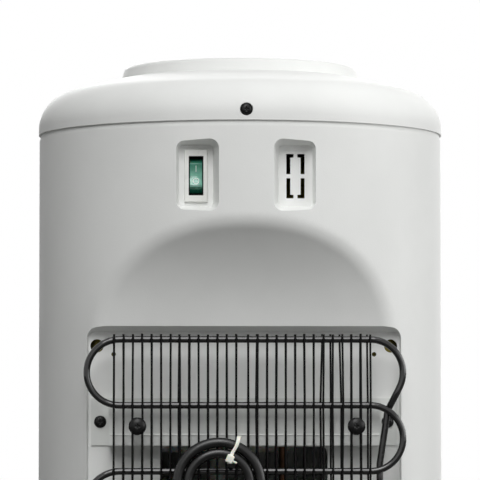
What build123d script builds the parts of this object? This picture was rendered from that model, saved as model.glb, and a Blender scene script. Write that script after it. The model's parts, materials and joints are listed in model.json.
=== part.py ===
from build123d import *
from math import acos, atan2, cos, degrees, radians, sin, sqrt, tan
import os

# Countertop water dispenser with a bottle seat on top, two taps in a front niche and a
# wire-on-tube condenser hung on its back. Millimetres. +Z is up, the taps face -Y, and the
# origin is the centre of the round body on the surface that it stands on.

# ---------------------------------------------------------------- driving dimensions
fit_gap = 0.3                  # between pieces that are assembled without force
slide_gap = 0.5                # each side of a piece that slides or lifts out
weld_bite = 0.1                # how far resistance welding sinks a wire into its tube

# body shells
body_radius = 150.0
shell_wall = 2.5
foot_height = 12.0
body_top = 468.3               # top of the shells' rims
cover_base = 469.5             # bottom edge of the top cover
seam_gap = 0.4                 # between the two shells
split_y = -12.0                # the front and rear shells meet on this plane
rim_height = 2.5               # shallow rebate round the top of both shells
rim_depth = 0.7

# scoop above the condenser: a level cylinder that runs out into the round body
scoop_radius = 125.0
scoop_depth = 45.0             # from the back of the body
scoop_apex_z = 397.5
scoop_edge_radius = 18.0

# recess behind the condenser
recess_depth = 55.0
recess_side = 4.6              # wall left beside the recess, on the floor's level
recess_top = 321.2
recess_bottom = 49.0
recess_corner = 5.0
recess_draft = 18.0
window_width = 120.0
window_bottom = 104.0
window_top = 239.0
foam_hole_radius = 4.75
foam_hole_inset = 6.0          # insets are counted from the recess floor's side
foam_hole_z = 311.2
pilot_hole_radius = 1.65
pilot_hole_inset = 17.9
pilot_hole_z = 305.2

# switch pockets
pocket_x = 35.25
pocket_z = 430.8
pocket_depth = 16.0
pocket_width = 24.0
pocket_height = 43.6
pocket_corner = 3.0
pocket_draft = 15.0
cutout_width = 12.9
cutout_height = 31.5
blank_width = 7.3
blank_height = 26.3
blank_bridge = 2.8
blank_seat_width = 16.4
blank_seat_height = 36.6
blank_seat_depth = 0.8

# top cover, heights counted from the seam
cover_overhang = 0.6           # of the cover past the shells
cover_skirt = 4.2
shoulder_radius = 28.3
shoulder_turn = 74.0
crown_radius = 635.0
crown_turn = 3.83
collar_rise = 9.0
collar_lean = 2.4
collar_round = 4.0
collar_ring_width = 4.6
cover_wall = 2.5
seat_step = 3.0                # the funnel flange drops this far into the collar
seat_ledge = 6.0
collar_bore_depth = 16.0
spigot_depth = 8.0
spigot_wall = 2.5
cover_screw_rise = 7.5
cover_screw_sink = 2.1
cover_tab_width = 20.0
cover_tab_sheet = 2.2
cover_tab_height = 12.5
cover_tab_gap = 1.5            # between the tongue and the shell's inside
cover_tab_root = 6.0
cover_pad_width = 16.0
pan_screw_length = 8.0
screw_head_radius = 4.4
screw_head_height = 2.0
screw_shank_radius = 1.9

# bottle funnel and its spike
funnel_wall = 2.5
funnel_barrel_height = 14.0
funnel_cone_rise = 8.5         # heights counted from the seam
funnel_floor_drop = 5.5
funnel_foot_drop = 23.5
well_radius = 28.0
outlet_radius = 15.0
spike_tube_radius = 9.0        # where the bottle's cap seals
spike_stem_radius = 8.6        # through the funnel's floor, and just over the flange
spike_bore = 6.5
spike_flange_radius = 16.0
spike_flange_height = 3.0
spike_head_radius = 8.5        # above the sealing part
spike_groove = 1.0             # between the flange and the sealing part
spike_foot_drop = 15.0         # heights counted from the funnel's floor
spike_rise = 38.0
spike_seal_rise = 17.0
spike_nose = 12.0
spike_window = 20.0
seal_height = 3.0

# front niche and tray
niche_half_width = 91.5
niche_depth = 78.0
niche_floor_z = 48.0
niche_top = 366.0
niche_arch = 62.0
tray_height = 26.0
tray_wall = 2.0
grille_thickness = 2.0
grille_pitch = 11.0
grille_slot = 4.0
grille_rows = ((16.0, 22.0, 15), (40.0, 15.0, 13))   # distance from the niche's back, length, count
panel_inset = 6.5
panel_width = 84.0
panel_height = 34.0
panel_z = 418.0
panel_thickness = 2.0
panel_corner = 8.0
lens_pitch = 24.0
lens_radius = 2.5
lens_proud = 0.6
board_stand = 3.0
board_width = 72.0
board_height = 22.0
board_thickness = 1.6
board_post_inset = 4.0
board_post_radius = 2.5

# condenser
tube_radius = 2.4
wire_radius = 0.75
condenser_stand = 23.0         # tube's centre from the recess floor
row_count = 5
row_pitch = 46.8
top_row_z = 315.4
loop_inset = 22.4
wire_pitch = 6.68
wires_per_group = 14
middle_wire_gap = 8.46
first_wire_reach = 4.0         # of the outermost wire past the loops' centre
wire_top_over = 3.9
wire_bottom_over = 4.2
bracket_height = 33.6
bracket_sheet = 1.2
bracket_stand = 12.0
bracket_tab_width = 12.8
bracket_tab_inset = 1.9
bracket_lip_height = 8.0
bracket_lip_step = 1.2
bracket_drop = 11.8            # of a bracket's middle below the tube row above it
bracket_screw_inset = 8.4
washer_screw_drop = 3.0        # below the bracket's middle
washer_screw_radius = 1.5
washer_head_radius = 6.3
washer_head_height = 2.2
shoulder_screw_radius = 2.3

# base and compressor
base_sheet = 1.5
base_flange = 12.0
foot_radius = 14.0
foot_stem_radius = 4.0
foot_chamfer = 1.5
foot_inset = 32.0
compressor_x = -48.0
compressor_y = 10.0
compressor_radius = 55.0
compressor_top = 185.0
mount_plate_sheet = 2.5
mount_half_x = 64.0
mount_half_y = 40.0
grommet_radius = 9.0
grommet_neck = 5.5
grommet_groove = 5.5           # height of the plate's seat above the base sheet
grommet_head = 4.0
stud_radius = 3.0
stud_height = 18.0
nut_radius = 5.5
nut_height = 4.5
compressor_sheet = 3.0
compressor_dome = 30.0
compressor_base_round = 16.0
compressor_boss_radius = 6.0
compressor_boss_length = 8.0
discharge_boss_z = 120.0
suction_boss_z = 195.0
suction_boss_offset = (18.0, 36.0)
suction_run_z = 262.0
motor_radius = 34.0
motor_bottom = 45.0
motor_top = 145.0
motor_leg_radius = 4.0
motor_leg_circle = 26.0
vent_pitch = 18.0
vent_width = 6.0
vent_length = 40.0
vent_count = 7
terminal_cover_size = (40.0, 24.0, 36.0)
terminal_cover_bite = 8.0     # of the cover inside the compressor's round
terminal_cover_round = 3.0

# tanks
tank_y = 12.0
cold_tank_radius = 60.0
cold_tank_drop = 29.5          # its top below the seam
tank_sheet = 0.8
tank_corner = 8.0
neck_radius = 22.0
neck_height = 10.0
cold_port = (38.0, -12.0)
feed_port = (17.0, 9.0)
cold_stub_drop = 14.0          # below the foam
baffle_rise = 66.0
baffle_thickness = 1.6
coil_tube_radius = 3.0
coil_pitch = 14.0
coil_turns = 7 + 1 / 6
coil_rise = 16.0
coil_start_angle = 60.0
coil_tail = 30.0               # straight run from the coil's end to the bend down
foam_cavity_radius = 74.0
foam_gap = 7.5                 # to the inside of the shells
foam_front_gap = 6.0           # to the niche's face
foam_rear_gap = 4.0            # to the recess's face
foam_floor = 8.0
foam_lid = 8.0
shelf_top = 298.0
shelf_sheet = 2.0
ledge_height = 6.0
ledge_depth = 5.0
ledge_length = 50.0
ledge_margin = 4.0
hot_tank_x = 74.0
hot_tank_y = 8.0
hot_tank_radius = 40.0
hot_jacket_radius = 46.0
hot_tank_bottom = 76.0
hot_tank_top = 216.0
hot_feed_port = (52.0, 9.0)
hot_drain_port = (72.0, 24.0)
hot_outlet_port = (74.0, 30.0)
hot_stub_length = 12.0
heater_x = 80.0
heater_y = -6.0
heater_half_pitch = 8.0
heater_rod_radius = 3.5
heater_reach = 90.0
heater_flange_radius = 14.0
heater_flange = 3.0
heater_terminal = 8.0
thermostat_radius = 8.0
thermostat_height = 8.0
thermostat_blade = 1.5
thermostat_spots = ((74.0, -14.0), (90.0, 14.0))
stand_plate = 2.0
stand_width = 80.0
stand_leg_radius = 4.0
stand_leg_offset = 26.0

# taps
tap_x = 38.0
tap_z = 280.0
tap_reach = 40.0               # in front of the niche's back
shank_radius = 8.0
barrel_radius = 9.0
tap_body_radius = 12.0
tap_chamber_radius = 8.5
spout_radius = 7.0
spout_bore = 4.0
stem_radius = 2.5
lever_pivot_offset = 9.0       # lever pin in front of the stem
pin_radius = 1.5
pin_clearance = 0.08
tap_flange_radius = 14.0
tap_flange = 3.0
shank_length = 26.0
barb_drop = 22.0
barb_inset = 4.0
tap_body_low = 14.0
bonnet_height = 28.0
bonnet_wall = 3.0
spout_length = 22.0
seat_drop = 8.0
seal_radius = 6.5
seal_disc = 4.0
lever_width = 9.0
lever_thickness = 3.0
lever_hub_radius = 4.0
lever_reach = 26.0
lever_tail = 13.5
paddle_width = 16.0
cap_disc_radius = 4.0
cap_disc = 2.5
cap_lift_gap = 0.4
ear_thickness = 3.0
nut_flats_radius = 11.0
tap_nut_height = 5.0

# switch
switch_frame_width = 16.6
switch_frame_height = 37.5
switch_frame_thickness = 2.0
switch_opening_width = 10.4
switch_opening_height = 27.9
switch_depth = 20.0
rocker_width = 8.8
rocker_half_height = 12.6
rocker_tilt = 7.0
rocker_rise = 5.0
rocker_dip = 1.6
rocker_root = 6.0
rocker_inset = 3.2             # pivot below the pocket's floor
trunnion_radius = 1.2
trunnion_reach = 0.8           # into the housing's walls
trunnion_skin = 0.4            # left outside the trunnions' holes
rocker_chamfer = 1.0
rocker_root_half = 3.0
switch_back = 2.0
blade_size = (0.8, 8.0, 4.8)
blade_pitch = 9.0

# power cord
cord_radius = 3.5
hank_x = 19.0
hank_top = 246.0
hank_straight = 84.0
hank_outer_turn = 29.9
hank_inner_turn = 22.4
hank_stand = 16.0              # back layer from the condenser's tube
hank_layer_pitch = 7.5
grip_x = -89.3
grip_z = 100.0
grip_neck_radius = 7.0
grip_flange_radius = 9.5
grip_reach = 16.0
grip_flange = 3.0
grip_retainer = 4.0            # inside the recess floor
grip_tip_wall = 1.0
grip_hold = 6.0                # length of cord inside the grip's tip
plug_width = 26.0
plug_depth = 15.0
plug_length = 38.0
plug_pin_pitch = 19.0
plug_pin_radius = 2.4
plug_pin_length = 19.0
plug_neck = 10.0
plug_neck_wall = 0.8
plug_shoulder = 0.5
plug_round = 7.4
plug_low_z = 56.0
tail_top_z = 107.0
cord_end_z = 107.0             # where the lead meets the hank
tie_x = 7.05                   # it goes through two gaps between wires, one above the other
tie_lean = 19.0
tie_width = 2.5
tie_thickness = 1.1
tie_gap = 0.3
tie_corner = 3.5
tie_head = (4.6, 4.2, 4.8)
tie_head_rise = 2.0
tie_low_z = 227.9
tie_high_z = 246.3

# pipes, drain and small fittings
pipe_bend = 10.0
pipe_hole_radius = 5.0
capillary_radius = 1.2
discharge_inset = 15.3
discharge_stand = 17.6
discharge_entry_z = 203.0
discharge_inner_depth = 20.0   # behind the recess floor
discharge_hang = 50.4          # below the top row, where it comes under the loops
discharge_sway = 5.7           # how far out it still is there
discharge_straight = 41.6      # below the second row, where it runs straight down
discharge_lean = 26.0          # how far the top row's end leans back under the loops
discharge_lap = 2.0            # straight end of the top row
discharge_lead = 3.0           # straight start of the pipe
outlet_inset = 7.5
outlet_depth = 35.0
drier_radius = 9.0
drier_bottom = 150.0
drier_top = 215.0
hose_radius = 6.0
stub_radius = 4.0
hose_fit = 0.15
hose_overlap = 10.0
hose_run_z = 240.0             # level runs above the hot tank
hot_feed_run_z = 46.0
drain_run_z = 42.0
drain_run_y = 62.0
tube_bend = 8.0
hose_bend = 16.0
hose_clear = 1.5               # from a hose's end to the wall that its stub leaves
capillary_run_drop = 36.0      # below the foam
drain_nut = 2.5
drain_x = 72.0
drain_z = 84.0
drain_neck_radius = 6.0
drain_flange_radius = 9.0
drain_reach = 12.0
cap_radius = 11.0
cap_flutes = 12
cap_flute_radius = 1.1


def polar(centre, radius, angle):
    """A point at an angle in degrees round a centre."""
    return (centre[0] + radius * cos(radians(angle)), centre[1] + radius * sin(radians(angle)))


# ---------------------------------------------------------------- values worked out
inner_radius = body_radius - shell_wall
cover_radius = body_radius + cover_overhang
scoop_face_y = body_radius - scoop_depth
recess_floor_y = body_radius - recess_depth
recess_half = sqrt(body_radius**2 - recess_floor_y**2) - recess_side
foam_hole_x = recess_half - foam_hole_inset
pilot_hole_x = recess_half - pilot_hole_inset
pocket_floor_y = body_radius - pocket_depth
niche_back_y = niche_depth - body_radius
panel_face_y = panel_inset - body_radius
tap_y = niche_back_y - tap_reach
foot_circle = body_radius - foot_inset
condenser_y = recess_floor_y + condenser_stand
loop_centre_x = recess_half - loop_inset
first_wire_x = loop_centre_x + first_wire_reach
bracket_tab_outer = recess_half - bracket_tab_inset
bracket_tab_inner = bracket_tab_outer - bracket_tab_width
bracket_screw_x = recess_half - bracket_screw_inset
hank_back_layer_y = condenser_y + hank_stand
hank_front_layer_y = hank_back_layer_y + hank_layer_pitch
discharge_x = discharge_inset - recess_half
discharge_y = recess_floor_y + discharge_stand
discharge_inner_y = recess_floor_y - discharge_inner_depth
discharge_angle = degrees(atan2(discharge_inner_y - compressor_y, discharge_x - compressor_x))
outlet_x = recess_half - outlet_inset
outlet_y = recess_floor_y - outlet_depth
scoop_half_height = sqrt(scoop_radius**2 - (scoop_radius - body_radius + scoop_face_y) ** 2)
scoop_base_z = scoop_apex_z - scoop_half_height
rows = [top_row_z - row_pitch * i for i in range(row_count)]
base_top = foot_height + base_sheet
bracket_face_y = recess_floor_y + bracket_stand
bracket_zs = [rows[1] - bracket_drop, rows[3] - bracket_drop]
wires_x = [first_wire_x - wire_pitch * i for i in range(wires_per_group)]
wires_x += [wires_x[-1] - middle_wire_gap - wire_pitch * i for i in range(wires_per_group)]
condenser_screw_xs = [
    (wires_x[2] + wires_x[3]) / 2,
    (wires_x[-3] + wires_x[-2]) / 2,
]
wire_offset = tube_radius + wire_radius - weld_bite
outer_wire_face_y = condenser_y + wire_offset + wire_radius
tray_top = niche_floor_z + tray_height
pin_y = tap_y - lever_pivot_offset
bonnet_top = tap_z + bonnet_height
pin_z = bonnet_top + lever_hub_radius + 1
rocker_pivot_y = pocket_floor_y - rocker_inset
mount_plate_z = base_top + grommet_groove
tab_outer_radius = inner_radius - cover_tab_gap
recess_mid_z = (recess_top + recess_bottom) / 2
cover_screw_seat_y = cover_radius - cover_screw_sink
shoulder_centre = (cover_radius - shoulder_radius, cover_skirt)
crown_centre = polar(shoulder_centre, shoulder_radius - crown_radius, shoulder_turn)
collar_top = polar(crown_centre, crown_radius, shoulder_turn + crown_turn)[1] + collar_rise
collar_flat_radius = polar(crown_centre, crown_radius, shoulder_turn + crown_turn)[0] - collar_lean
seat_radius = collar_flat_radius - collar_round - collar_ring_width
collar_bore = seat_radius - seat_ledge
bore_skirt_radius = collar_bore + cover_wall
cover_screw_z = cover_base + cover_screw_rise
spigot_outer = inner_radius - fit_gap
rim_seat = body_top - cover_base
spigot_foot = rim_seat - spigot_depth
flange_z = cover_base + collar_top - seat_step
funnel_cone_low = cover_base + funnel_cone_rise
funnel_floor_z = cover_base - funnel_floor_drop
funnel_foot = cover_base - funnel_foot_drop
spike_foot = funnel_floor_z - spike_foot_drop
spike_shoulder = funnel_floor_z + spike_rise
cold_tank_top = cover_base - cold_tank_drop
foam_radius = inner_radius - foam_gap
foam_front_y = niche_back_y + foam_front_gap
foam_rear_y = recess_floor_y - foam_rear_gap
foam_bottom = shelf_top
foam_top = cold_tank_top + foam_lid
cold_tank_bottom = foam_bottom + foam_floor
cold_stub_foot = foam_bottom - cold_stub_drop
baffle_z = cold_tank_bottom + baffle_rise
coil_start_z = cold_tank_bottom + coil_rise
funnel_barrel = collar_bore - slide_gap
funnel_cone_high = flange_z - funnel_barrel_height
cold_tank_ports = (cold_port, feed_port)
coil_radius = cold_tank_radius + coil_tube_radius + fit_gap
mount_plate_top = mount_plate_z + mount_plate_sheet
suction_boss_spot = (compressor_x + suction_boss_offset[0], compressor_y + suction_boss_offset[1])
mount_points = [
    (compressor_x + i * mount_half_x, compressor_y + j * mount_half_y) for i in (-1, 1) for j in (-1, 1)
]
loop_radius = row_pitch / 2
lean_angle = 180 + discharge_lean
discharge_bend = polar((-loop_centre_x, rows[0] - loop_radius), loop_radius, lean_angle)
discharge_way = Vector(sin(radians(discharge_lean)), 0, -cos(radians(discharge_lean)))
discharge_start = Vector(discharge_bend[0], condenser_y, discharge_bend[1]) + discharge_way * discharge_lap


def save(piece, name):
    """Label a finished piece and write its STEP file under the same name."""
    piece.part.label = name
    export_step(piece.part, f"parts/{name}.step")


def rear_plane(x, y, z):
    """A plane that faces out of the back, on which x runs the other way."""
    return Plane(origin=(x, y, z), x_dir=(-1, 0, 0), z_dir=(0, 1, 0))


def front_plane(x, y, z):
    """A plane that faces out of the front."""
    return Plane(origin=(x, y, z), x_dir=(1, 0, 0), z_dir=(0, -1, 0))


def level_plane(x, y, z):
    """A plane that faces up."""
    return Plane(origin=(x, y, z), x_dir=(1, 0, 0), z_dir=(0, 0, 1))


def half_body(front, radius, bottom, top):
    """Add the front or rear half of a round body to the part that is open."""
    with BuildSketch(Plane.XY.offset(bottom)) as half:
        Circle(radius)
        behind = (Align.CENTER, Align.MIN if front else Align.MAX)
        with Locations((0, split_y + (-seam_gap / 2 if front else seam_gap / 2))):
            Rectangle(2.2 * radius, 2.2 * radius, align=behind, mode=Mode.SUBTRACT)
    extrude(half.sketch, amount=top - bottom)


def scoop_cut(grow):
    """Cut the scoop's level cylinder, carried on down into the recess."""
    with BuildSketch(Plane.YZ) as scoop:
        with Locations((scoop_face_y + scoop_radius, scoop_base_z)):
            Circle(scoop_radius + grow)
        with Locations((scoop_face_y - grow, recess_mid_z)):
            Rectangle(
                scoop_radius + grow, scoop_base_z - recess_mid_z, align=(Align.MIN, Align.MIN)
            )
    extrude(scoop.sketch, amount=body_radius, both=True, mode=Mode.SUBTRACT)


def drafted_cut(plane, width, height, corner, depth, draft, grow):
    """Cut a drafted pocket; grow offsets it for the inside of the wall."""
    margin = grow * (1 / cos(radians(draft)) - tan(radians(draft)))
    with BuildSketch(plane.offset(-grow)) as floor:
        RectangleRounded(width + 2 * margin, height + 2 * margin, corner + margin)
    extrude(floor.sketch, amount=depth + grow, taper=-draft, mode=Mode.SUBTRACT)


def rear_cuts(grow):
    """Cut the recess behind the condenser and the two switch pockets."""
    recess = rear_plane(0, recess_floor_y, recess_mid_z)
    height = recess_top - recess_bottom
    depth = body_radius - recess_floor_y + 1
    drafted_cut(recess, 2 * recess_half, height, recess_corner, depth, recess_draft, grow)
    for x in (-pocket_x, pocket_x):
        pocket = rear_plane(x, pocket_floor_y, pocket_z)
        depth = body_radius - pocket_floor_y + 1
        drafted_cut(pocket, pocket_width, pocket_height, pocket_corner, depth, pocket_draft, grow)


def rim_rebate():
    """Cut the shallow step round the top of a shell."""
    with BuildSketch(Plane.XY.offset(body_top - rim_height)) as rebate:
        Circle(body_radius + 1)
        Circle(body_radius - rim_depth, mode=Mode.SUBTRACT)
    extrude(rebate.sketch, amount=rim_height + 1, mode=Mode.SUBTRACT)


def shelf_ledges(front):
    """Add the ledges inside a shell that carry the shelf under the tank."""
    with BuildSketch(Plane.XY.offset(shelf_top - shelf_sheet - ledge_height)) as ledge:
        Circle(inner_radius + shell_wall / 2)
        Circle(inner_radius - ledge_depth, mode=Mode.SUBTRACT)
        start = split_y - ledge_margin if front else split_y + ledge_margin
        side = Align.MAX if front else Align.MIN
        with Locations((0, start)):
            Rectangle(2 * body_radius, ledge_length, align=(Align.CENTER, side), mode=Mode.INTERSECT)
    extrude(ledge.sketch, amount=ledge_height)


def niche_cut(grow):
    """Cut the arched niche in the front."""
    half = niche_half_width + grow
    low = niche_floor_z - grow
    high = niche_top + grow
    bend = niche_arch + grow
    with BuildSketch(front_plane(0, niche_back_y + grow, 0)) as niche:
        with BuildLine():
            Polyline((-half, high - bend), (-half, low), (half, low), (half, high - bend))
            CenterArc((half - bend, high - bend), bend, 0, 90)
            Line((half - bend, high), (-half + bend, high))
            CenterArc((-half + bend, high - bend), bend, 90, 90)
        make_face()
    extrude(niche.sketch, amount=body_radius, mode=Mode.SUBTRACT)


def panel_cut(grow):
    """Cut the flat seat of the indicator panel in the front."""
    seat = front_plane(0, panel_face_y + panel_thickness + grow, panel_z)
    rim = 2 * (fit_gap + grow)
    with BuildSketch(seat) as opening:
        RectangleRounded(panel_width + rim, panel_height + rim, panel_corner)
    extrude(opening.sketch, amount=body_radius, mode=Mode.SUBTRACT)


def rod(plane, radius, length, bore=0.0, mode=Mode.ADD):
    """Add or cut a rod or a tube that stands on a plane."""
    with BuildSketch(plane) as section:
        Circle(radius)
        if bore:
            Circle(bore, mode=Mode.SUBTRACT)
    extrude(section.sketch, amount=length, mode=mode)


def block(x, y, z, width, depth, height, mode=Mode.ADD):
    """Add or cut a block, given the middle of its underside."""
    with BuildSketch(level_plane(x, y, z)) as base:
        Rectangle(width, depth)
    extrude(base.sketch, amount=height, mode=mode)


def tube_along(points, radii, outer, bore=0.0):
    """Add a round tube along straight runs joined by tangent arcs."""
    with BuildLine() as route:
        FilletPolyline(*points, radius=radii)
    with BuildSketch(Plane(origin=route.line @ 0, z_dir=route.line % 0)) as section:
        Circle(outer)
        if bore:
            Circle(bore, mode=Mode.SUBTRACT)
    sweep(section.sketch, path=route.wires()[0])


def arc_radii(points):
    """The largest arc at each corner of a cord's route: 0.45 of the shorter run beside it."""
    radii = []
    for before, corner, after in zip(points, points[1:], points[2:]):
        first = Vector(*corner) - Vector(*before)
        second = Vector(*after) - Vector(*corner)
        half_turn = radians(first.get_angle(second) / 2)
        radii.append(0.45 * min(first.length, second.length) / tan(half_turn))
    return radii


def cross_recess(plane, depth):
    """Cut a cross recess down from a plane on top of a screw's head."""
    with BuildSketch(plane) as cross:
        Rectangle(screw_head_radius, screw_head_radius / 4)
        Rectangle(screw_head_radius / 4, screw_head_radius)
    extrude(cross.sketch, amount=-depth, mode=Mode.SUBTRACT)


def pan_screw(plane, length):
    """Add a pan-head screw with a cross recess, its head's seat on the plane."""
    rod(plane, screw_head_radius, screw_head_height)
    rod(plane, screw_shank_radius, -length)
    cross_recess(plane.offset(screw_head_height), screw_head_height / 2)


os.makedirs("parts", exist_ok=True)

# ---------------------------------------------------------------- body shells
with BuildPart() as rear_space:
    half_body(False, inner_radius, foot_height - 1, body_top + 1)
    scoop_cut(shell_wall)
    rear_cuts(shell_wall)

with BuildPart() as rear_shell:
    half_body(False, body_radius, foot_height, body_top)
    scoop_cut(0)
    brow = [e for e in rear_shell.edges() if e.geom_type in (GeomType.BSPLINE, GeomType.OTHER)]
    fillet(brow, scoop_edge_radius)
    rear_cuts(0)
    add(rear_space.part, mode=Mode.SUBTRACT)
    rim_rebate()
    shelf_ledges(False)
    # tongue behind the top cover, which takes the cover's screw
    with BuildSketch(Plane.XY.offset(body_top - spigot_depth - cover_tab_root)):
        Circle(inner_radius + shell_wall / 2)
        Circle(tab_outer_radius - cover_tab_sheet, mode=Mode.SUBTRACT)
        with Locations((0, body_radius)):
            Rectangle(cover_tab_width, body_radius, mode=Mode.INTERSECT)
    extrude(amount=cover_tab_root - fit_gap)
    with BuildSketch(Plane.XY.offset(body_top - spigot_depth - cover_tab_root)):
        Circle(tab_outer_radius)
        Circle(tab_outer_radius - cover_tab_sheet, mode=Mode.SUBTRACT)
        with Locations((0, body_radius)):
            Rectangle(cover_tab_width, body_radius, mode=Mode.INTERSECT)
    extrude(amount=spigot_depth + cover_tab_root + cover_tab_height)
    rod(rear_plane(0, body_radius, cover_screw_z), screw_shank_radius, -3 * shell_wall, mode=Mode.SUBTRACT)
    # window and holes in the floor of the recess
    with BuildSketch(rear_plane(0, recess_floor_y + 1, 0)):
        with Locations((0, (window_top + window_bottom) / 2)):
            RectangleRounded(window_width, window_top - window_bottom, recess_corner)
        with Locations((-foam_hole_x, foam_hole_z), (foam_hole_x, foam_hole_z)):
            Circle(foam_hole_radius)
        with Locations((-pilot_hole_x, pilot_hole_z), (pilot_hole_x, pilot_hole_z)):
            Circle(pilot_hole_radius)
        with Locations((-discharge_x, discharge_entry_z), (-outlet_x, rows[-1])):
            Circle(pipe_hole_radius)
        with Locations([(x, z) for x in (-bracket_screw_x, bracket_screw_x) for z in bracket_zs]):
            Circle(screw_shank_radius)
        with Locations((-grip_x, grip_z)):
            Circle(grip_neck_radius + fit_gap)
        with Locations((-drain_x, drain_z)):
            Circle(drain_neck_radius + fit_gap)
    extrude(amount=-shell_wall - 2, mode=Mode.SUBTRACT)
    # the switch's cut-out, and the blanked one with slots round its island
    with BuildSketch(rear_plane(0, pocket_floor_y, pocket_z)):
        with Locations((pocket_x, 0)):
            Rectangle(blank_seat_width, blank_seat_height)
    extrude(amount=-blank_seat_depth, mode=Mode.SUBTRACT)
    with BuildSketch(rear_plane(0, pocket_floor_y + 1, pocket_z)):
        with Locations((-pocket_x, 0), (pocket_x, 0)):
            Rectangle(cutout_width, cutout_height)
        with Locations((pocket_x, 0)):
            Rectangle(blank_width, blank_height, mode=Mode.SUBTRACT)
            Rectangle(cutout_width, blank_bridge, mode=Mode.SUBTRACT)
            Rectangle(blank_bridge, cutout_height, mode=Mode.SUBTRACT)
    extrude(amount=-shell_wall - 2, mode=Mode.SUBTRACT)
save(rear_shell, "rear_shell")

with BuildPart() as front_space:
    half_body(True, inner_radius, foot_height - 1, body_top + 1)
    niche_cut(shell_wall)
    panel_cut(shell_wall)

with BuildPart() as front_shell:
    half_body(True, body_radius, foot_height, body_top)
    niche_cut(0)
    panel_cut(0)
    add(front_space.part, mode=Mode.SUBTRACT)
    rim_rebate()
    shelf_ledges(True)
    for x in (-tap_x, tap_x):
        hole = front_plane(x, niche_back_y - 1, tap_z)
        rod(hole, shank_radius + fit_gap, -shell_wall - 2, mode=Mode.SUBTRACT)
    for x in (-lens_pitch, 0, lens_pitch):
        hole = front_plane(x, panel_face_y, panel_z)
        rod(hole, lens_radius + fit_gap, -3 * shell_wall, mode=Mode.SUBTRACT)
save(front_shell, "front_shell")

# ---------------------------------------------------------------- top cover and bottle seat
with BuildPart() as top_cover:
    crown_inner = crown_radius - cover_wall
    skirt_foot_angle = degrees(acos((bore_skirt_radius - crown_centre[0]) / crown_inner))
    with BuildSketch(front_plane(0, 0, cover_base)):
        with BuildLine():
            Line((cover_radius, 0), (cover_radius, cover_skirt))
            CenterArc(shoulder_centre, shoulder_radius, 0, shoulder_turn)
            crown = CenterArc(crown_centre, crown_radius, shoulder_turn, crown_turn)
            collar_foot = crown @ 1
            collar_outer = collar_foot.X - collar_lean
            skirt_top = polar(crown_centre, crown_inner, skirt_foot_angle)
            Polyline(
                collar_foot,
                (collar_outer, collar_top),
                (seat_radius, collar_top),
                (seat_radius, collar_top - seat_step),
                (collar_bore, collar_top - seat_step),
                (collar_bore, collar_top - collar_bore_depth),
                (bore_skirt_radius, collar_top - collar_bore_depth),
                skirt_top,
            )
            CenterArc(crown_centre, crown_inner, skirt_foot_angle, shoulder_turn - skirt_foot_angle)
            CenterArc(shoulder_centre, shoulder_radius - cover_wall, shoulder_turn, -shoulder_turn)
            Polyline(
                (cover_radius - cover_wall, cover_skirt),
                (spigot_outer - spigot_wall, 0),
                (spigot_outer - spigot_wall, spigot_foot),
                (spigot_outer, spigot_foot),
                (spigot_outer, rim_seat),
                (cover_radius - 2 * rim_depth - fit_gap, rim_seat),
                (cover_radius - 2 * rim_depth - fit_gap, 0),
                (cover_radius, 0),
            )
        make_face()
    revolve(axis=Axis.Z)
    collar_edge = top_cover.edges().filter_by(GeomType.CIRCLE).group_by(Axis.Z)[-1].sort_by(SortBy.RADIUS)
    fillet(collar_edge[-1], collar_round)
    # notch for the rear shell's tongue, and the pad and seat of the screw
    notch_depth = spigot_wall + cover_tab_sheet + 2
    notch_y = tab_outer_radius + fit_gap - notch_depth / 2
    notch_height = cover_skirt - spigot_foot + 1
    notch_width = cover_tab_width + 2 * slide_gap
    block(0, notch_y, cover_base + spigot_foot - 1, notch_width, notch_depth, notch_height, Mode.SUBTRACT)
    with BuildSketch(rear_plane(0, tab_outer_radius + fit_gap, cover_screw_z)):
        Rectangle(cover_pad_width, 2 * screw_head_radius)
    extrude(until=Until.NEXT)
    seat = rear_plane(0, cover_screw_seat_y, cover_screw_z)
    rod(seat, screw_head_radius + fit_gap, cover_tab_width, mode=Mode.SUBTRACT)
    rod(seat, screw_shank_radius + fit_gap, -pan_screw_length, mode=Mode.SUBTRACT)
save(top_cover, "top_cover")

with BuildPart() as bottle_funnel:
    with BuildSketch(front_plane(0, 0, 0)):
        with BuildLine():
            Polyline(
                (spike_stem_radius + fit_gap, funnel_floor_z),
                (well_radius, funnel_floor_z),
                (well_radius, funnel_cone_low),
                (funnel_barrel - funnel_wall, funnel_cone_high),
                (funnel_barrel - funnel_wall, flange_z + seat_step),
                (seat_radius - slide_gap, flange_z + seat_step),
                (seat_radius - slide_gap, flange_z),
                (funnel_barrel, flange_z),
                (funnel_barrel, funnel_cone_high),
                (well_radius + funnel_wall, funnel_cone_low - funnel_wall),
                (well_radius + funnel_wall, funnel_floor_z - funnel_wall),
                (outlet_radius + funnel_wall, funnel_floor_z - funnel_wall),
                (outlet_radius + funnel_wall, funnel_foot),
                (outlet_radius, funnel_foot),
                (outlet_radius, funnel_floor_z - funnel_wall),
                (spike_stem_radius + fit_gap, funnel_floor_z - funnel_wall),
                close=True,
            )
        make_face()
    revolve(axis=Axis.Z)
save(bottle_funnel, "bottle_funnel")

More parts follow.
